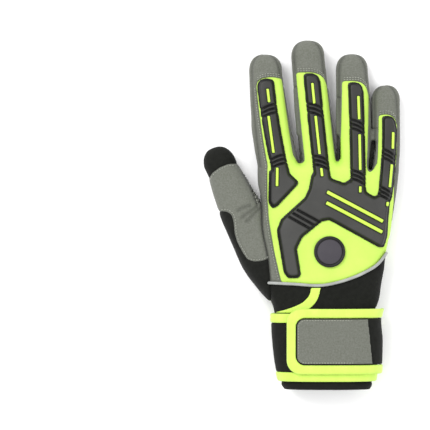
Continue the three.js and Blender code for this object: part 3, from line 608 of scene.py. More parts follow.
def band_end(name, row, turns, ahead=0.0):
    """Points on the arched far end of a band, from its left to its right, or ahead of it."""
    low, high, aside, width, *falls = row
    points = []
    for turn in turns:
        fall = falls[int(turn > 0)] * (1 - math.sqrt(1 - turn * turn))
        t = high - fall + ahead / FINGERS[name]["length"]
        points.append(finger_point(name, t, aside) + (turn * width / 2, 0))
    return points


def finger_band(name, row):
    """A band along a finger, whose far end falls away in an arch to its two sides."""
    low, high, aside, width, fall_left, fall_right = row
    out = np.array((width / 2, 0.0))
    left = [finger_point(name, t, aside) - out for t in np.linspace(low, high - fall_left, 9)]
    right = [finger_point(name, t, aside) + out for t in np.linspace(low, high - fall_right, 9)]
    return np.array(left + band_end(name, row, (-0.8, -0.5, 0.0, 0.5, 0.8)) + right[::-1])


def cloth_region(plan):
    field = outline_distance(on_back(CLOTH_BACK), *plan)
    for name, row in CLOTH_BANDS.items():
        field = np.minimum(field, outline_distance(finger_band(name, row), *plan))
    return blurred(field, 1.3)


def beyond(line, x, y, along_y=False):
    """Signed distance to a line that runs across the glove, negative on its low side."""
    order = 0 if along_y else 1
    rows = line[np.argsort(line[:, order])]
    edge = np.interp(y, rows[:, 1], rows[:, 0]) if not along_y else np.interp(x, rows[:, 0], rows[:, 1])
    away = line_distance(line, x, y)
    side = (x - edge) if not along_y else (y - edge)
    return np.where(side < 0, -away, away).astype(REAL)


def extended(line, ahead, behind):
    """A line with its two ends carried on."""
    return np.concatenate([[line[0] + ahead], line, [line[-1] + behind]])


crotch_line = extended(curved(on_back(CROTCH_LINE)), np.array((0, FAR / 4)), np.array((0, -FAR / 4)))
cuff_line = extended(curved(on_back(CUFF_SEAM)), np.array((-FAR / 4, 0)), np.array((FAR / 4, 0)))
PALM_CLOTH_DROP, STRAP_DROP, STRAP_WIDTH, STRAP_LIFT_DROP = 28.0, 21.5, 49.6, 16.0
palm_cloth_end = CUFF_SEAM_Y - PALM_CLOTH_DROP
strap_top = CUFF_SEAM_Y - STRAP_DROP
strap_bottom = strap_top - STRAP_WIDTH
hem_end = CUFF_SEAM_Y - CUFF_LENGTH

# The whole glove's field, worked out once
glove = Block((-77, -134, -2.4), (77, 133, 42), CLOTH_CELL)
glove_form = hand_field(glove.x, glove.y, glove.z)

QUILT_LINES = [
    [(-0.9, 0.97), (-0.35, 0.92), (-0.06, 0.88), (0.66, 0.89)],
    [(-0.95, 0.73), (-0.57, 0.66), (-0.13, 0.73), (0.24, 0.71), (0.68, 0.64)],
    [(-0.26, 0.63), (0.1, 0.36), (0.52, 0.48)],
    [(-0.08, 0.31), (-0.47, 0.11)],
    [(-0.47, 0.49), (-0.53, 0.15)],
    [(0.52, 0.24), (0.73, 0.1)],
]
FINGER_PAD_SEAMS, PAD_SHARE = (0.1, 0.42, 0.5, 0.72), 0.36
QUILT_DEPTH, QUILT_SOFTNESS = 1.1, 1.7
quilting = [curved(on_back(line)) for line in QUILT_LINES]
for finger_name, finger in FINGERS.items():
    for t in FINGER_PAD_SEAMS:
        half = PAD_SHARE * bow(finger["width"], t)
        quilting.append(np.array([finger_point(finger_name, t, -half), finger_point(finger_name, t, half)]))


quilt_distance = least([line_distance(line, *glove.plan) for line in quilting])
floor_height = QUILT_DEPTH * ridge(quilt_distance, QUILT_SOFTNESS)
floor_height += STRAP_FLOOR * np.clip((CUFF_SEAM_Y - STRAP_LIFT_DROP - glove.plan[1]) / 5.0, 0, 1)
glove_form = soft_max(glove_form, floor_height[:, :, None].astype(REAL) - glove.z, 0.8)


# Creases, gathers and soft folds of the back, and the painted shade along them

# Fingertip seams stand this far in from a finger's two sides.
TIP_SEAM_INSET = 2.4
# Seams and creases by the thumb's crotch, in shares of the palm
THUMB_GATHER_LINE = [(-1.2, 0.965), (-1.1, 0.85), (-1.0, 0.69)]
GATHER_TURN, GATHER_REACH, GATHER_COUNT = (0.86, 0.5), 3.2, 8
THUMB_CREASES = [
    [(-1.22, 0.583), (-1.106, 0.638), (-1.004, 0.675)],
    [(-1.153, 0.55), (-1.057, 0.61), (-0.977, 0.658)],
    [(-1.278, 0.646), (-1.19, 0.675), (-1.106, 0.69)],
]
# The lowest part of each gap between two fingers, in millimetres
FINGER_SLITS = [[(-5.2, 56.0), (-2.6, 39.5)], [(24.3, 56.0), (25.4, 41.0)], [(51.0, 52.0), (48.6, 33.5)]]
# Each kind of crease: its depth and width, how much painted shade darkens the nap, and over what width
CREASE_KINDS = {
    "tip seam": (0.9, 0.9, 0.45, 0.75), "gather": (0.8, 0.6, 0.6, 0.6), "gather seam": (0.7, 0.7, 0.5, 0.7),
    "thumb": (1.1, 1.2, 0.3, 1.3), "slit": (8.0, 1.1, 0.95, 1.76), "crotch": (0.8, 1.0, 0.75, 0.8),
}
FOLD_HEIGHT, FOLD_LIMIT, FOLD_REACH = 0.45, 0.7, 8.0
# Creases and folds begin a little above the seam with the palm.
CREASES_FROM, CREASES_RUN = 9.0, 3.0


def tip_seams(name):
    """The two seams of a fingertip, a little inside its outline."""
    made = []
    for side in (-1, 1):
        line = []
        round_from = 1 - FINGER_TIP_REACH / FINGERS[name]["length"]
        over_tip = 1 - (1 - round_from) * np.array((0.7, 0.4, 0.2, 0.1))
        for t in np.append(np.linspace(0.08, round_from, 8), over_tip):
            rounding = max(0.0, (t - round_from) / (1 - round_from))
            half = bow(FINGERS[name]["width"], t) / 2 * (1 - rounding**ROUNDNESS) ** (1 / ROUNDNESS)
            line.append(finger_point(name, t, side * (half - TIP_SEAM_INSET)))
        made.append(np.array(line))
    return made


def gathers():
    """Short tucks that cross the strip between the thumb's seam and the crotch."""
    seam = curved(on_back(THUMB_GATHER_LINE))
    turn = np.array(GATHER_TURN) * GATHER_REACH
    places = seam[np.linspace(1, len(seam) - 2, GATHER_COUNT).astype(int)]
    return [np.array([place, place + turn]) for place in places]


neon_region = cloth_region(glove.plan)
crease_lines = {
    "tip seam": [line for name in FINGERS for line in tip_seams(name)],
    "gather": gathers(),
    "gather seam": [curved(on_back(THUMB_GATHER_LINE))],
    "thumb": [curved(on_back(line)) for line in THUMB_CREASES],
    "slit": FINGER_SLITS,
    "crotch": [crotch_line],
}
# crease_shade is painted shade: darker colour along seams, creases, the crotch and the gaps between
# fingers.
crease_depth = crease_shade = 0.0
for kind, lines in crease_lines.items():
    depth, width, darkness, dark_width = CREASE_KINDS[kind]
    away = least([line_distance(line, *glove.plan) for line in lines])
    shown = np.clip(neon_region / 2.0, 0, 1) if kind == "tip seam" else 1.0
    crease_depth = crease_depth + depth * shown * ridge(away, width)
    crease_shade = np.maximum(crease_shade, darkness * shown * ridge(away, dark_width))
wander = blurred(np.random.default_rng(7).normal(size=neon_region.shape), FOLD_REACH)
folds = FOLD_HEIGHT * wander / wander.std() * np.clip(neon_region / 6.0, 0, 1)
sunk = crease_depth + np.clip(folds, -FOLD_LIMIT, FOLD_LIMIT)
upper_side = np.clip((glove.z - CREASES_FROM) / CREASES_RUN, 0, 1)
glove_form = glove_form + (sunk[:, :, None] * upper_side).astype(REAL)


# Pieces cut from the glove's wall

thumb_region = beyond(crotch_line, *glove.plan)
cuff_region = beyond(cuff_line, *glove.plan, along_y=True)
x_plan, y_plan = glove.plan
below_seam = glove.z - PALM_SEAM_HEIGHT
on_fingers = CUFF_SEAM_Y + PALM_LENGTH


def flat(region):
    return region[:, :, None]


neon_solid = np.maximum(flat(neon_region), np.where(glove.y > on_fingers, SIDE_HEIGHT - glove.z, -FAR))
back_of_hand = np.maximum(-below_seam, np.maximum(-flat(thumb_region), -flat(cuff_region)))


SEAM_SOFTNESS, SEAM_DEPTH, SEAM_LAP = 1.4, 0.5, 0.3


def cut_piece(name, region, material, slot, dip=0.5, wall=CLOTH_WALL, form=None, fill=None):
    """A panel of the wall inside a region; it turns in a little along its seams."""
    form = glove_form if form is None else form
    outer = form + dip * ridge(region + SEAM_GAP / 2, SEAM_SOFTNESS)
    # The seam allowance inside laps over the next panel's, so no light comes through.
    lapped = np.clip((-SEAM_DEPTH - form) / SEAM_DEPTH, 0, 1)
    region = region + SEAM_GAP / 2 - (SEAM_GAP / 2 + SEAM_LAP) * lapped
    values = soft_max(np.maximum(outer, -(form + wall)), region, 0.5)
    used = np.argwhere(values < 0)
    low = np.maximum(used.min(axis=0) - 2, 0)
    high = np.minimum(used.max(axis=0) + 3, values.shape)
    cut = values[low[0]:high[0], low[1]:high[1], low[2]:high[2]]
    points, quads = biggest_part(*skin(cut))
    places = (points + low) * glove.cell + glove.low
    piece = make_mesh(name, places, quads, material)
    # Painted shade along creases and seams, on the upper side only.
    shade = sampled(crease_shade, glove, places) * np.clip((places[:, 2] - 8.0) / 3.0, 0, 1)
    piece.data.attributes.new("crease", "FLOAT", "POINT").data.foreach_set("value", shade.astype(REAL))
    return dress(piece, slot, name, fill=fill)


def make_palm():
    end = palm_cloth_end - glove.y
    palm = np.maximum(np.maximum(below_seam, -flat(thumb_region)), end)
    cut_piece("palm_panel", palm, palm_cloth, "palm_cloth", fill=0.3)
    thumb = np.maximum(np.maximum(below_seam, flat(thumb_region)), end)
    cut_piece("thumb_front", thumb, palm_cloth, "palm_cloth")


THUMB_PATCH = [
    (0.84, 1.5), (0.84, 0.93), (0.865, 0.62), (0.878, 0.2), (0.877, -0.25), (0.862, -0.61), (0.82, -1.4),
    (0.3, -1.6), (0.268, -0.3), (0.271, 0.11), (0.286, 0.46), (0.314, 0.7), (0.368, 0.78), (0.431, 0.82),
    (0.489, 0.76),
    (0.544, 0.61), (0.589, 0.55), (0.618, 0.68), (0.64, 1.05), (0.64, 1.5),
]
PATCH_BOW, TIP_SEAM_BACK = 0.6, 0.1
thumb_patch = [
    thumb_point(along, aside * THUMB_WIDTH / 2 + THUMB_BOW * PATCH_BOW) for along, aside in THUMB_PATCH
]
patch_region = blurred(outline_distance(np.array(thumb_patch), *glove.plan), 1.2)


def make_thumb():
    thumb = np.maximum(-below_seam, flat(thumb_region))
    cut_piece("thumb_back_patch", np.maximum(thumb, flat(patch_region)), suede, "suede")
    outer = np.maximum(np.maximum(thumb, -flat(patch_region)), palm_cloth_end - glove.y)
    tip_from = thumb_point(THUMB_PATCH[0][0] - TIP_SEAM_BACK, 0)[1]
    cut_piece("thumb_outer", np.maximum(outer, glove.y - tip_from), neoprene, "neoprene")
    cut_piece("thumb_tip", np.maximum(outer, tip_from - glove.y), neoprene, "neoprene")


def make_cuff():
    upper = np.maximum(np.maximum(-below_seam, -flat(thumb_region)), flat(cuff_region))
    lower = glove.y - palm_cloth_end
    cuff = np.maximum(np.minimum(upper, lower), strap_bottom - glove.y)
    cut_piece("cuff", cuff, neoprene, "neoprene", dip=0.2)
    hem_form = glove_form - 1.0
    hem = np.maximum(glove.y - strap_bottom, hem_end - 0.3 - glove.y)
    cut_piece("cuff_hem", hem, neoprene, "neoprene", wall=CLOTH_WALL + 1.0, form=hem_form, dip=0.9)


def tip_region(name):
    """Beyond the neon cloth of a finger, within the finger's own tube."""
    start = finger_point(name, CLOTH_BANDS[name][1] - max(CLOTH_BANDS[name][4:]) - 0.01)[1]
    inside_finger = tube(glove.x, glove.y, glove.z, finger_rows(name), FINGER_TIP_REACH) - 0.3
    return np.maximum(start - glove.y, inside_finger)


def centre_side(name):
    """Signed distance to a finger's centre line, negative on the thumb's side."""
    line = np.array([finger_point(name, t) for t in np.linspace(-0.5, 1.3, 19)])
    return flat((x_plan - np.interp(y_plan, line[:, 1], line[:, 0])).astype(REAL))


def make_back():
    cut_piece("stretch_panel", np.maximum(back_of_hand, neon_solid), stretch, "stretch_cloth")
    grey = np.maximum(back_of_hand, -neon_solid)
    tips = {name: tip_region(name) for name in FINGERS}
    sides = {name: centre_side(name) for name in FINGERS}
    no_tips = np.maximum(grey, -least(list(tips.values())))
    index_edge = np.minimum(sides["index"], tips["index"])
    little_edge = np.minimum(-sides["little"], tips["little"])
    cut_piece("index_side_panel", np.maximum(grey, index_edge), suede, "suede")
    cut_piece("middle_tip_cap", np.maximum(grey, tips["middle"]), suede, "suede")
    cut_piece("ring_tip_cap", np.maximum(grey, tips["ring"]), suede, "suede")
    little = np.maximum(np.maximum(grey, little_edge), -tips["ring"])
    cut_piece("little_side_panel", little, suede, "suede")
    for left, right in (("index", "middle"), ("middle", "ring"), ("ring", "little")):
        between = np.maximum(-sides[left], sides[right])
        cut_piece(f"fourchette_{left}_{right}", np.maximum(no_tips, between), suede, "suede")


make_palm()
make_thumb()
make_cuff()
make_back()


# Moulded guard, stripes and damper

GUARD_PLATE = [
    (-0.27, 0.84), (-0.23, 0.97), (0.0, 0.98), (0.06, 0.93), (0.24, 0.89), (0.31, 0.92), (0.52, 0.88),
    (0.56, 0.81), (0.67, 0.77), (0.76, 0.8), (0.93, 0.88), (0.88, 0.62), (0.86, 0.42), (0.81, 0.32),
    (0.73, 0.32), (0.14, 0.52), (0.02, 0.56), (-0.08, 0.55), (-0.36, 0.41), (-0.44, 0.31), (-0.38, 0.08),
    (-0.42, 0.05), (-0.57, 0.05), (-0.63, 0.1), (-0.73, 0.47), (-0.67, 0.57), (-0.33, 0.76),
]
GUARD_INDEX_FOOT = [
    (-0.84, 1.0), (-0.85, 0.72), (-0.79, 0.66), (-0.72, 0.68), (-0.43, 0.87), (-0.41, 0.9), (-0.53, 0.97),
    (-0.59, 1.02),
]
FINGER_STRIPES = {
    "index": [(0.6, 0.71), (0.19, 0.49), (-0.08, 0.07)],
    "middle": [(0.53, 0.68), (0.16, 0.44), (0.0, 0.06)],
    "ring": [(0.46, 0.65), (0.05, 0.34), (-0.13, -0.08)],
    "little": [(0.38, 0.54), (0.01, 0.23), (-0.17, -0.13)],
}
# Aside at the low and the high end of each stripe
STRIPE_ASIDE = {"index": [(0.4, 0.2), (-1.7, -1.3), (-4.1, -1.0)], "middle": [(1.1, 1.1)] * 3,
                "ring": [(3.3, 3.3)] * 3, "little": [(4.8, 4.8)] * 3}
KNUCKLE_STRIPES = [[(-0.01, 0.81), (0.79, 0.55)], [(-0.02, 0.715), (0.78, 0.455)]]
RIB_GROOVES = {"index": [(0.53, 0.38), (0.12, 0.38)], "middle": [(0.48, -0.33), (0.1, -0.33)],
               "ring": [(0.4, -0.45), (-0.01, -0.45)], "little": [(0.3, -0.6), (-0.06, -0.6)]}
ARM_GROOVES = [
    [(-0.43, 0.65), (-0.13, 0.55)], [(-0.49, 0.62), (-0.19, 0.515)], [(-0.55, 0.59), (-0.25, 0.485)],
]
GUARD_THICKNESS, GUARD_FLANGE = 3.0, 1.0
STRIPE_WIDTH, KNUCKLE_STRIPE_WIDTH, STRIPE_PROUD, STRIPE_THICKNESS = 1.9, 2.5, 0.35, 1.8
DAMPER_RADIUS, DAMPER_RIM, DAMPER_DOME = 9.4, 1.5, 0.5
DAMPER_RING_OUTER, DAMPER_RING_INNER, DAMPER_RING_HEIGHT = 11.4, 9.2, 2.4
RIB_PITCH, RIB_WIDTH, RIB_DEPTH, RIB_BOW = 3.1, 1.5, 1.9, 0.9
RIM_STITCH, RIM_STITCH_DEPTH = 1.7, 0.2
BEVEL_FROM, BEVEL_RUN, BED_DEPTH, BED_WIDTH = 0.95, 1.4, 0.6, 0.6
# How far the painted shade of the rim and beside the stripes, and the finger strips' darker tone, go
RIM_SHADE_FROM, RIM_SHADE_RUN, STRIPE_SHADE, STRIPE_SHADE_WIDTH = 1.0, 2.4, 0.9, 0.7
STRIP_SHADE, STRIP_SHADE_FROM, STRIP_SHADE_RUN = 0.35, 24.0, 14.0

fine = Block((-38, -50, 10), (72, 107, 38), FINE_CELL)
fine_form = hand_field(fine.x, fine.y, fine.z)


def rib_lines():
    made = [on_back(line) for line in ARM_GROOVES]
    for name, groups in RIB_GROOVES.items():
        aside, width = GUARD_BANDS[name][2:4]
        for at, slope in groups:
            centre = finger_point(name, at, aside)
            half = np.array((1.0, slope)) * (width / 2 - 0.4)
            arc = curved([centre - half, centre + (0, RIB_BOW), centre + half], 4)
            made += [arc + (0, step * RIB_PITCH) for step in (-1, 0, 1)]
    return made


stripe_bands = {}
for finger_name, rows in FINGER_STRIPES.items():
    for number, (low, high) in enumerate(rows, 1):
        asides = STRIPE_ASIDE[finger_name][number - 1]
        ends = np.array([finger_point(finger_name, t, a) for t, a in zip((low, high), asides)])
        stripe_bands[f"stripe_{finger_name}_{number}"] = (ends, STRIPE_WIDTH)
for number, line in enumerate(KNUCKLE_STRIPES, 1):
    stripe_bands[f"stripe_knuckle_{number}"] = (on_back(line), KNUCKLE_STRIPE_WIDTH)
stripe_fields = {name: outline_distance(band(*row), *fine.plan) for name, row in stripe_bands.items()}
all_stripes = least(list(stripe_fields.values()))
all_ribs = least([line_distance(line, *fine.plan) for line in rib_lines()])


def step_up(t, start, run):
    """From 0 to 1 with soft ends."""
    share = np.clip((t - start) / run, 0, 1)
    return share * share * (3 - 2 * share)


def make_guard(name, region):
    """A rubber moulding with a thin flange, a bevelled body, ribs and beds for its stripes."""
    x, y = fine.plan
    region = blurred(region, 1.8)
    # Stitches through the rim leave its edge finely notched.
    turn = 2 * math.pi / RIM_STITCH
    notches = RIM_STITCH_DEPTH * np.sin((x + y) * turn) * np.sin((x - y) * turn)
    region = (region + notches * ridge(region, 0.8)).astype(REAL)
    body = step_up(-region, BEVEL_FROM, BEVEL_RUN)
    bed = BED_DEPTH * body * ridge(np.maximum(all_stripes, 0), BED_WIDTH)
    rib = RIB_DEPTH * ridge(all_ribs, RIB_WIDTH / 2)
    height = GUARD_FLANGE + (GUARD_THICKNESS - GUARD_FLANGE) * body - rib - bed
    height = np.maximum(height, GUARD_FLANGE / 2)
    over = fine_form - SEAM_GAP - flat(height)
    values = soft_max(np.maximum(over, SEAM_GAP - fine_form), flat(region), 0.5)
    values = np.maximum(values, SIDE_HEIGHT - 1 - fine.z)
    points, quads = biggest_part(*skin(values))
    places = points * fine.cell + fine.low
    guard = make_mesh(name, places, quads, rubber)
    # Painted shade on the bevelled rim, in the rib grooves and beside the stripe beds.
    rim = 1 - step_up(sampled(-region, fine, places), RIM_SHADE_FROM, RIM_SHADE_RUN)
    in_ribs = ridge(sampled(all_ribs, fine, places), 0.6 * RIB_WIDTH)
    from_stripes = np.maximum(sampled(all_stripes, fine, places), 0)
    by_stripes = STRIPE_SHADE * ridge(from_stripes, STRIPE_SHADE_WIDTH)
    # The strips on the fingers are darker than the plate, more so further along the fingers.
    on_strips = STRIP_SHADE * step_up(places[:, 1], STRIP_SHADE_FROM, STRIP_SHADE_RUN)
    edge = -least([-rim, -in_ribs, -by_stripes, -on_strips])
    shade = guard.data.attributes.new("edge", "FLOAT", "POINT")
    shade.data.foreach_set("value", edge.astype(REAL))
    dress(guard, "guard_rubber", name)


def make_guards():
    strips = {}
    for name, row in GUARD_BANDS.items():
        strips[name] = outline_distance(finger_band(name, row), *fine.plan)
    foot = outline_distance(on_back(GUARD_INDEX_FOOT), *fine.plan)
    make_guard("guard_index", np.minimum(foot, strips["index"]))
    plate = outline_distance(on_back(GUARD_PLATE), *fine.plan)
    make_guard("guard_main", least([plate, strips["middle"], strips["ring"], strips["little"]]))


def make_stripes():
    groups = {}
    for name, field in stripe_fields.items():
        groups.setdefault(name.rsplit("_", 1)[0], {})[name] = field
    for group, members in groups.items():
        region = least(list(members.values()))
        top = SEAM_GAP + GUARD_THICKNESS + STRIPE_PROUD
        layer = np.maximum(fine_form - top, top - STRIPE_THICKNESS - fine_form)
        values = soft_max(layer, flat(region), 0.6)
        make_layer(group + "s", fine, values, neon_rubber, "neon_rubber", list(members))


def make_damper():
    x, y = fine.plan
    radius = np.hypot(x - DAMPER_CENTRE[0], y - DAMPER_CENTRE[1]).astype(REAL)
    ring = np.maximum(radius - DAMPER_RING_OUTER, DAMPER_RING_INNER - radius)
    layer = np.maximum(fine_form - DAMPER_RING_HEIGHT, SEAM_GAP - fine_form)
    make_layer("damper_ring", fine, soft_max(layer, flat(ring), 0.9), damper_edge, "dark_rubber")
    dome = DAMPER_RIM + DAMPER_DOME * np.cos(np.clip(radius / DAMPER_RADIUS, 0, 1) * math.pi / 2)
    layer = np.maximum(fine_form - flat(dome), SEAM_GAP - fine_form)
    values = soft_max(layer, flat(radius - DAMPER_RADIUS), 0.6)
    make_layer("damper_disc", fine, values, damper_face, "damper_rubber")


# Piping, vent binding, strap and tab

VENT_LINE = [(-0.17, 0.04), (-0.21, 0.13), (-0.3, 0.2), (-0.45, 0.255), (-0.56, 0.281), (-0.68, 0.305),
             (-0.85, 0.33)]
BINDING_WIDTH, BINDING_THICKNESS, STRAP_THICKNESS = 7.0, 3.0, 2.4
TAB_INSET, TAB_TOP, TAB_WIDTH, TAB_THICKNESS = 6.8, 18.0, 47.5, 2.4
TAB_CORNER, TAB_PATCH_CORNER = 10.0, 6.0
TAB_PATCH_INSET, TAB_PATCH_SLANT, TAB_PATCH_THICKNESS = 4.2, 3.5, 0.9
TAB_BINDING_PROUD, TAB_PATCH_LIFT = 0.6, 0.2
TAB_UNDER = BINDING_THICKNESS + SEAM_GAP
TAB_PATCH_LOW = TAB_UNDER + TAB_THICKNESS + TAB_PATCH_LIFT
TAB_PATCH_RIGHT = PALM_CENTRE_X + CUFF_WIDTH / 2 - TAB_PATCH_INSET
PIPING_RADIUS, PIPING_HEIGHT, VENT_THICKNESS, VENT_CLEAR = 1.15, 1.2, 1.5, 1.6

wrist = Block((-36, -133, -1.6), (74, -20, 46), 0.7)
wrist_form = hand_field(wrist.x, wrist.y, wrist.z)
strap_form = wrist_field(wrist.x, wrist.y, wrist.z)
strap_form = soft_max(strap_form, STRAP_FLOOR - wrist.z, 0.8)


def layered(form, low, high, region, blend=0.9):
    """A layer over a form, between two heights, inside a region in plan or in space."""
    return soft_max(soft_max(form - high, low - form, 0.2), region, blend)


def wrist_piece(name, values, material, slot):
    return make_layer(name, wrist, values, material, slot)


def make_cuff_trim():
    seam = curved(on_back(CUFF_SEAM))
    away = flat(line_distance(seam, *wrist.plan))
    cord = np.sqrt(away**2 + (wrist_form - PIPING_HEIGHT) ** 2) - PIPING_RADIUS
    wrist_piece("cuff_piping", np.maximum(cord, SIDE_HEIGHT - wrist.z), piping_cord, "piping")
    line = curved([(PALM_CENTRE_X + a * HALF_PALM, CUFF_SEAM_Y - d * CUFF_LENGTH) for a, d in VENT_LINE])
    region = flat(line_distance(line, *wrist.plan)) - BINDING_WIDTH / 2
    for edge in (strap_top + SEAM_GAP - wrist.y, VENT_CLEAR - away, SIDE_HEIGHT - wrist.z):
        region = np.maximum(region, edge)
    values = layered(wrist_form, SEAM_GAP, VENT_THICKNESS, region, 0.8)
    wrist_piece("vent_binding", values, tape, "binding")


def make_strap():
    upper, lower = strap_top - BINDING_WIDTH, strap_bottom + BINDING_WIDTH
    middle = np.maximum(wrist.y - upper, lower - wrist.y) + 0.2
    values = layered(strap_form, SEAM_GAP, STRAP_THICKNESS, middle, 0.4)
    wrist_piece("strap", values, neoprene, "neoprene")
    for name, low, high in (("upper", upper, strap_top), ("lower", strap_bottom, lower)):
        edge = np.maximum(wrist.y - high, low - wrist.y)
        values = layered(strap_form, SEAM_GAP, BINDING_THICKNESS, edge, 1.6)
        wrist_piece(f"strap_binding_{name}", values, tape, "binding")


def tab_outline(inset, right=FAR, slant=0.0):
    left = PALM_CENTRE_X - CUFF_WIDTH / 2 + TAB_INSET + inset
    top, bottom = CUFF_SEAM_Y - TAB_TOP - inset, CUFF_SEAM_Y - TAB_TOP - TAB_WIDTH + inset
    corner = TAB_CORNER + (TAB_PATCH_CORNER - TAB_CORNER) * inset / BINDING_WIDTH
    points = []
    for cx, cy, start in ((left + corner, top - corner, 90), (left + corner, bottom + corner, 180)):
        for step in range(9):
            turned = math.radians(start + step * 90 / 8)
            points.append((cx + corner * math.cos(turned), cy + corner * math.sin(turned)))
    return np.array(points + [(right, bottom), (right - slant, top)])


def make_tab():
    whole = flat(outline_distance(tab_outline(0), *wrist.plan))
    middle = flat(outline_distance(tab_outline(BINDING_WIDTH), *wrist.plan))
    side = SIDE_HEIGHT - wrist.z
    top = TAB_UNDER + TAB_THICKNESS
    tab = layered(strap_form, TAB_UNDER, top, np.maximum(middle, side), 0.4)
    wrist_piece("tab", tab, neoprene, "neoprene")
    edge = np.maximum(np.maximum(whole, SEAM_GAP - middle), side)
    binding = layered(strap_form, TAB_UNDER, top + TAB_BINDING_PROUD, edge, 1.4)
    wrist_piece("tab_binding", binding, tape, "binding")
    outline = tab_outline(BINDING_WIDTH + SEAM_GAP, TAB_PATCH_RIGHT, TAB_PATCH_SLANT)
    patch = flat(outline_distance(outline, *wrist.plan))
    values = layered(strap_form, TAB_PATCH_LOW, TAB_PATCH_LOW + TAB_PATCH_THICKNESS, patch, 0.5)
    wrist_piece("tab_patch", np.maximum(values, side), suede, "suede")


# Stitches

STITCH_LONG, STITCH_GAP, STITCH_THICK = 1.35, 0.65, 0.55
STITCH_RING = 6
TIP_ROWS_AHEAD, SIDE_ROW_OUT, PATCH_ROW_IN, GATHER_ROW_OUT = (1.1, 2.6), 1.5, 1.3, 0.8
TAB_ROW_IN, TAB_END_ROWS_IN = 1.4, (2.2, 3.7)
# The index side's row of stitches runs on below the finger.
SIDE_ROW = [(-0.858, 0.75), (-0.835, 0.56), (-0.76, 0.28), (-0.67, 0.03)]


def surface_height(form, block):
    """Height of a form's top over each point of the plan."""
    inside = form < 0
    top = form.shape[2] - 1 - np.argmax(inside[:, :, ::-1], axis=2)
    top = np.clip(top, 0, form.shape[2] - 2)
    i, j = np.indices(top.shape)
    below, above = form[i, j, top], form[i, j, top + 1]
    crossing = below / np.where(below == above, 1, below - above)
    return np.where(inside.any(axis=2), block.low[2] + block.cell * (top + crossing), 0.0).astype(REAL)


def offset(line, aside):
    """A line moved to its left by a distance."""
    run = np.gradient(line, axis=0)
    side = np.stack([-run[:, 1], run[:, 0]], axis=1) / np.linalg.norm(run, axis=1, keepdims=True)
    return line + side * aside


def make_stitches(name, lines, heights, block, material, slot):
    """Short threads end to end along lines in plan; the ends of each dive into the cloth."""
    points, quads = [], []
    turns = np.arange(STITCH_RING) * 2 * math.pi / STITCH_RING
    for line in lines:
        line = np.asarray(line)
        run = np.append(0, np.cumsum(np.linalg.norm(np.diff(line, axis=0), axis=1)))
        for start in np.arange(STITCH_GAP / 2, run[-1] - STITCH_LONG, STITCH_LONG + STITCH_GAP):
            along = start + STITCH_LONG * np.array((0.0, 0.22, 0.78, 1.0))
            centre = np.stack([np.interp(along, run, line[:, axis]) for axis in (0, 1)], axis=1)
            sunk = STITCH_THICK * np.array((-0.5, 0.12, 0.12, -0.5))
            height = sampled(heights, block, centre) + sunk
            heading = centre[-1] - centre[0]
            side = np.array((-heading[1], heading[0])) / max(np.linalg.norm(heading), 1e-6)
            first = len(points) * STITCH_RING
            for place, z, swell in zip(centre, height, (0.55, 1.0, 1.0, 0.55)):
                radius = STITCH_THICK / 2 * swell
                flat_part = place + np.cos(turns)[:, None] * side * radius
                points.append(np.column_stack([flat_part, z + np.sin(turns) * radius]))
            for start_of_ring in range(first, first + 3 * STITCH_RING, STITCH_RING):
                for k in range(STITCH_RING):
                    a, b = start_of_ring + k, start_of_ring + (k + 1) % STITCH_RING
                    quads.append((a, b, b + STITCH_RING, a + STITCH_RING))
    return dress(make_mesh(name, np.concatenate(points), np.array(quads), material), slot)


def tip_rows(name):
    """Two rows of stitches across a finger, beyond the end of its neon cloth."""
    turns = np.linspace(-0.93, 0.93, 13)
    return [np.array(band_end(name, CLOTH_BANDS[name], turns, ahead)) for ahead in TIP_ROWS_AHEAD]


def make_threads():
    cloth_top = surface_height(glove_form, glove)
    low, high, aside, width, fall_left, _ = CLOTH_BANDS["index"]
    along_finger = np.linspace(high - fall_left - 0.02, 0.1, 12)
    side_row = [finger_point("index", t, aside - width / 2) for t in along_finger]
    rows = [row for name in FINGERS for row in tip_rows(name)]
    rows.append(offset(curved(side_row + list(on_back(SIDE_ROW)), 4), -SIDE_ROW_OUT))
    rows.append(offset(curved(thumb_patch[1:6], 6), -PATCH_ROW_IN))
    rows.append(offset(curved(thumb_patch[8:19], 4), -PATCH_ROW_IN))
    rows.append(offset(curved(on_back(THUMB_GATHER_LINE)), GATHER_ROW_OUT))
    make_stitches("suede_stitches", rows, cloth_top, glove, grey_thread, "suede")
    on_tab = surface_height(strap_form, wrist) + TAB_PATCH_LOW + TAB_PATCH_THICKNESS
    outline = tab_outline(BINDING_WIDTH + TAB_ROW_IN, TAB_PATCH_RIGHT - 1.2, TAB_PATCH_SLANT)
    rows = [np.roll(outline, 1, axis=0)]
    bottom, top = outline[-2], outline[-1]
    for inward in TAB_END_ROWS_IN:
        rows.append(np.array([bottom + (-inward, 0.5), top + (-inward, -0.5)]))
    make_stitches("tab_stitches", rows, on_tab, wrist, grey_thread, "suede")


make_guards()
make_stripes()
make_damper()
make_cuff_trim()
make_strap()
make_tab()
make_threads()


# Floor, light and camera

PHOTO_PIXELS = 430
PIXEL_MM = 0.73
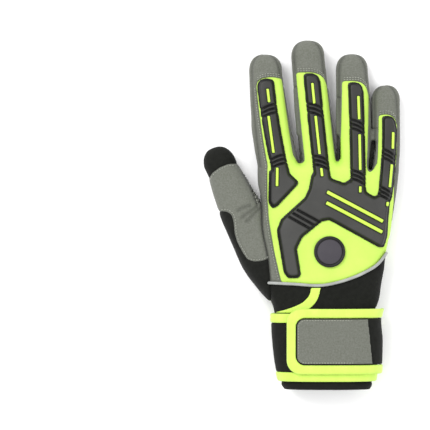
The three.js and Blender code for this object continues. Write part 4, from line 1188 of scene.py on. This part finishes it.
# The glove's middle stands this far right of the picture's middle, as in the photograph.
GLOVE_ASIDE_MM = 89 * PIXEL_MM
GLOVE_RAISED_MM = 0.9
CAMERA_HEIGHT_MM = 2400.0


def make_floor():
    # Painted paperboard sweep: matt and very pale.
    material, tree, surface, place = new_finish("matt_white_card", 0.9)
    tree.links.new(mottled(tree, place, "#fbfbfb", "#ffffff", 60.0), surface.inputs["Base Color"])
    bpy.ops.mesh.primitive_plane_add(size=6.0, location=(0, 0, -0.0002))
    floor = bpy.context.object
    floor.name = "floor"
    floor.data.materials.append(material)


def add_light(name, size, energy, place, aim=(0.0, 0.0, 0.0)):
    lamp = bpy.data.lights.new(name, "AREA")
    lamp.shape, lamp.size, lamp.energy = "DISK", size, energy
    made = bpy.data.objects.new(name, lamp)
    bpy.context.scene.collection.objects.link(made)
    made.location = place
    direction = [a - b for a, b in zip(aim, place)]
    made.rotation_euler = Vector(direction).to_track_quat("-Z", "Y").to_euler()


def make_light():
    world = bpy.data.worlds.new("soft_studio")
    bpy.context.scene.world = world
    world.use_nodes = True
    background = world.node_tree.nodes["Background"]
    background.inputs["Color"].default_value = (1.0, 1.0, 1.0, 1.0)
    background.inputs["Strength"].default_value = 1.05
    add_light("key", 0.9, 18.0, (-0.75, 0.75, 1.3))
    add_light("fill", 1.2, 7.0, (0.9, -0.3, 1.2))
    bpy.context.scene.view_settings.view_transform = "Standard"


def make_camera():
    lens = bpy.data.cameras.new("camera")
    made = bpy.data.objects.new("camera", lens)
    bpy.context.scene.collection.objects.link(made)
    lens.sensor_width = 36.0
    view_mm = PHOTO_PIXELS * PIXEL_MM
    glove_height_mm = 20.0
    lens.lens = lens.sensor_width * (CAMERA_HEIGHT_MM - glove_height_mm) / view_mm
    lens.clip_end = 20.0
    above = np.array((SHIFT[0] - GLOVE_ASIDE_MM, SHIFT[1] - GLOVE_RAISED_MM, CAMERA_HEIGHT_MM))
    made.location = above * MM
    bpy.context.scene.camera = made


make_floor()
make_light()
make_camera()
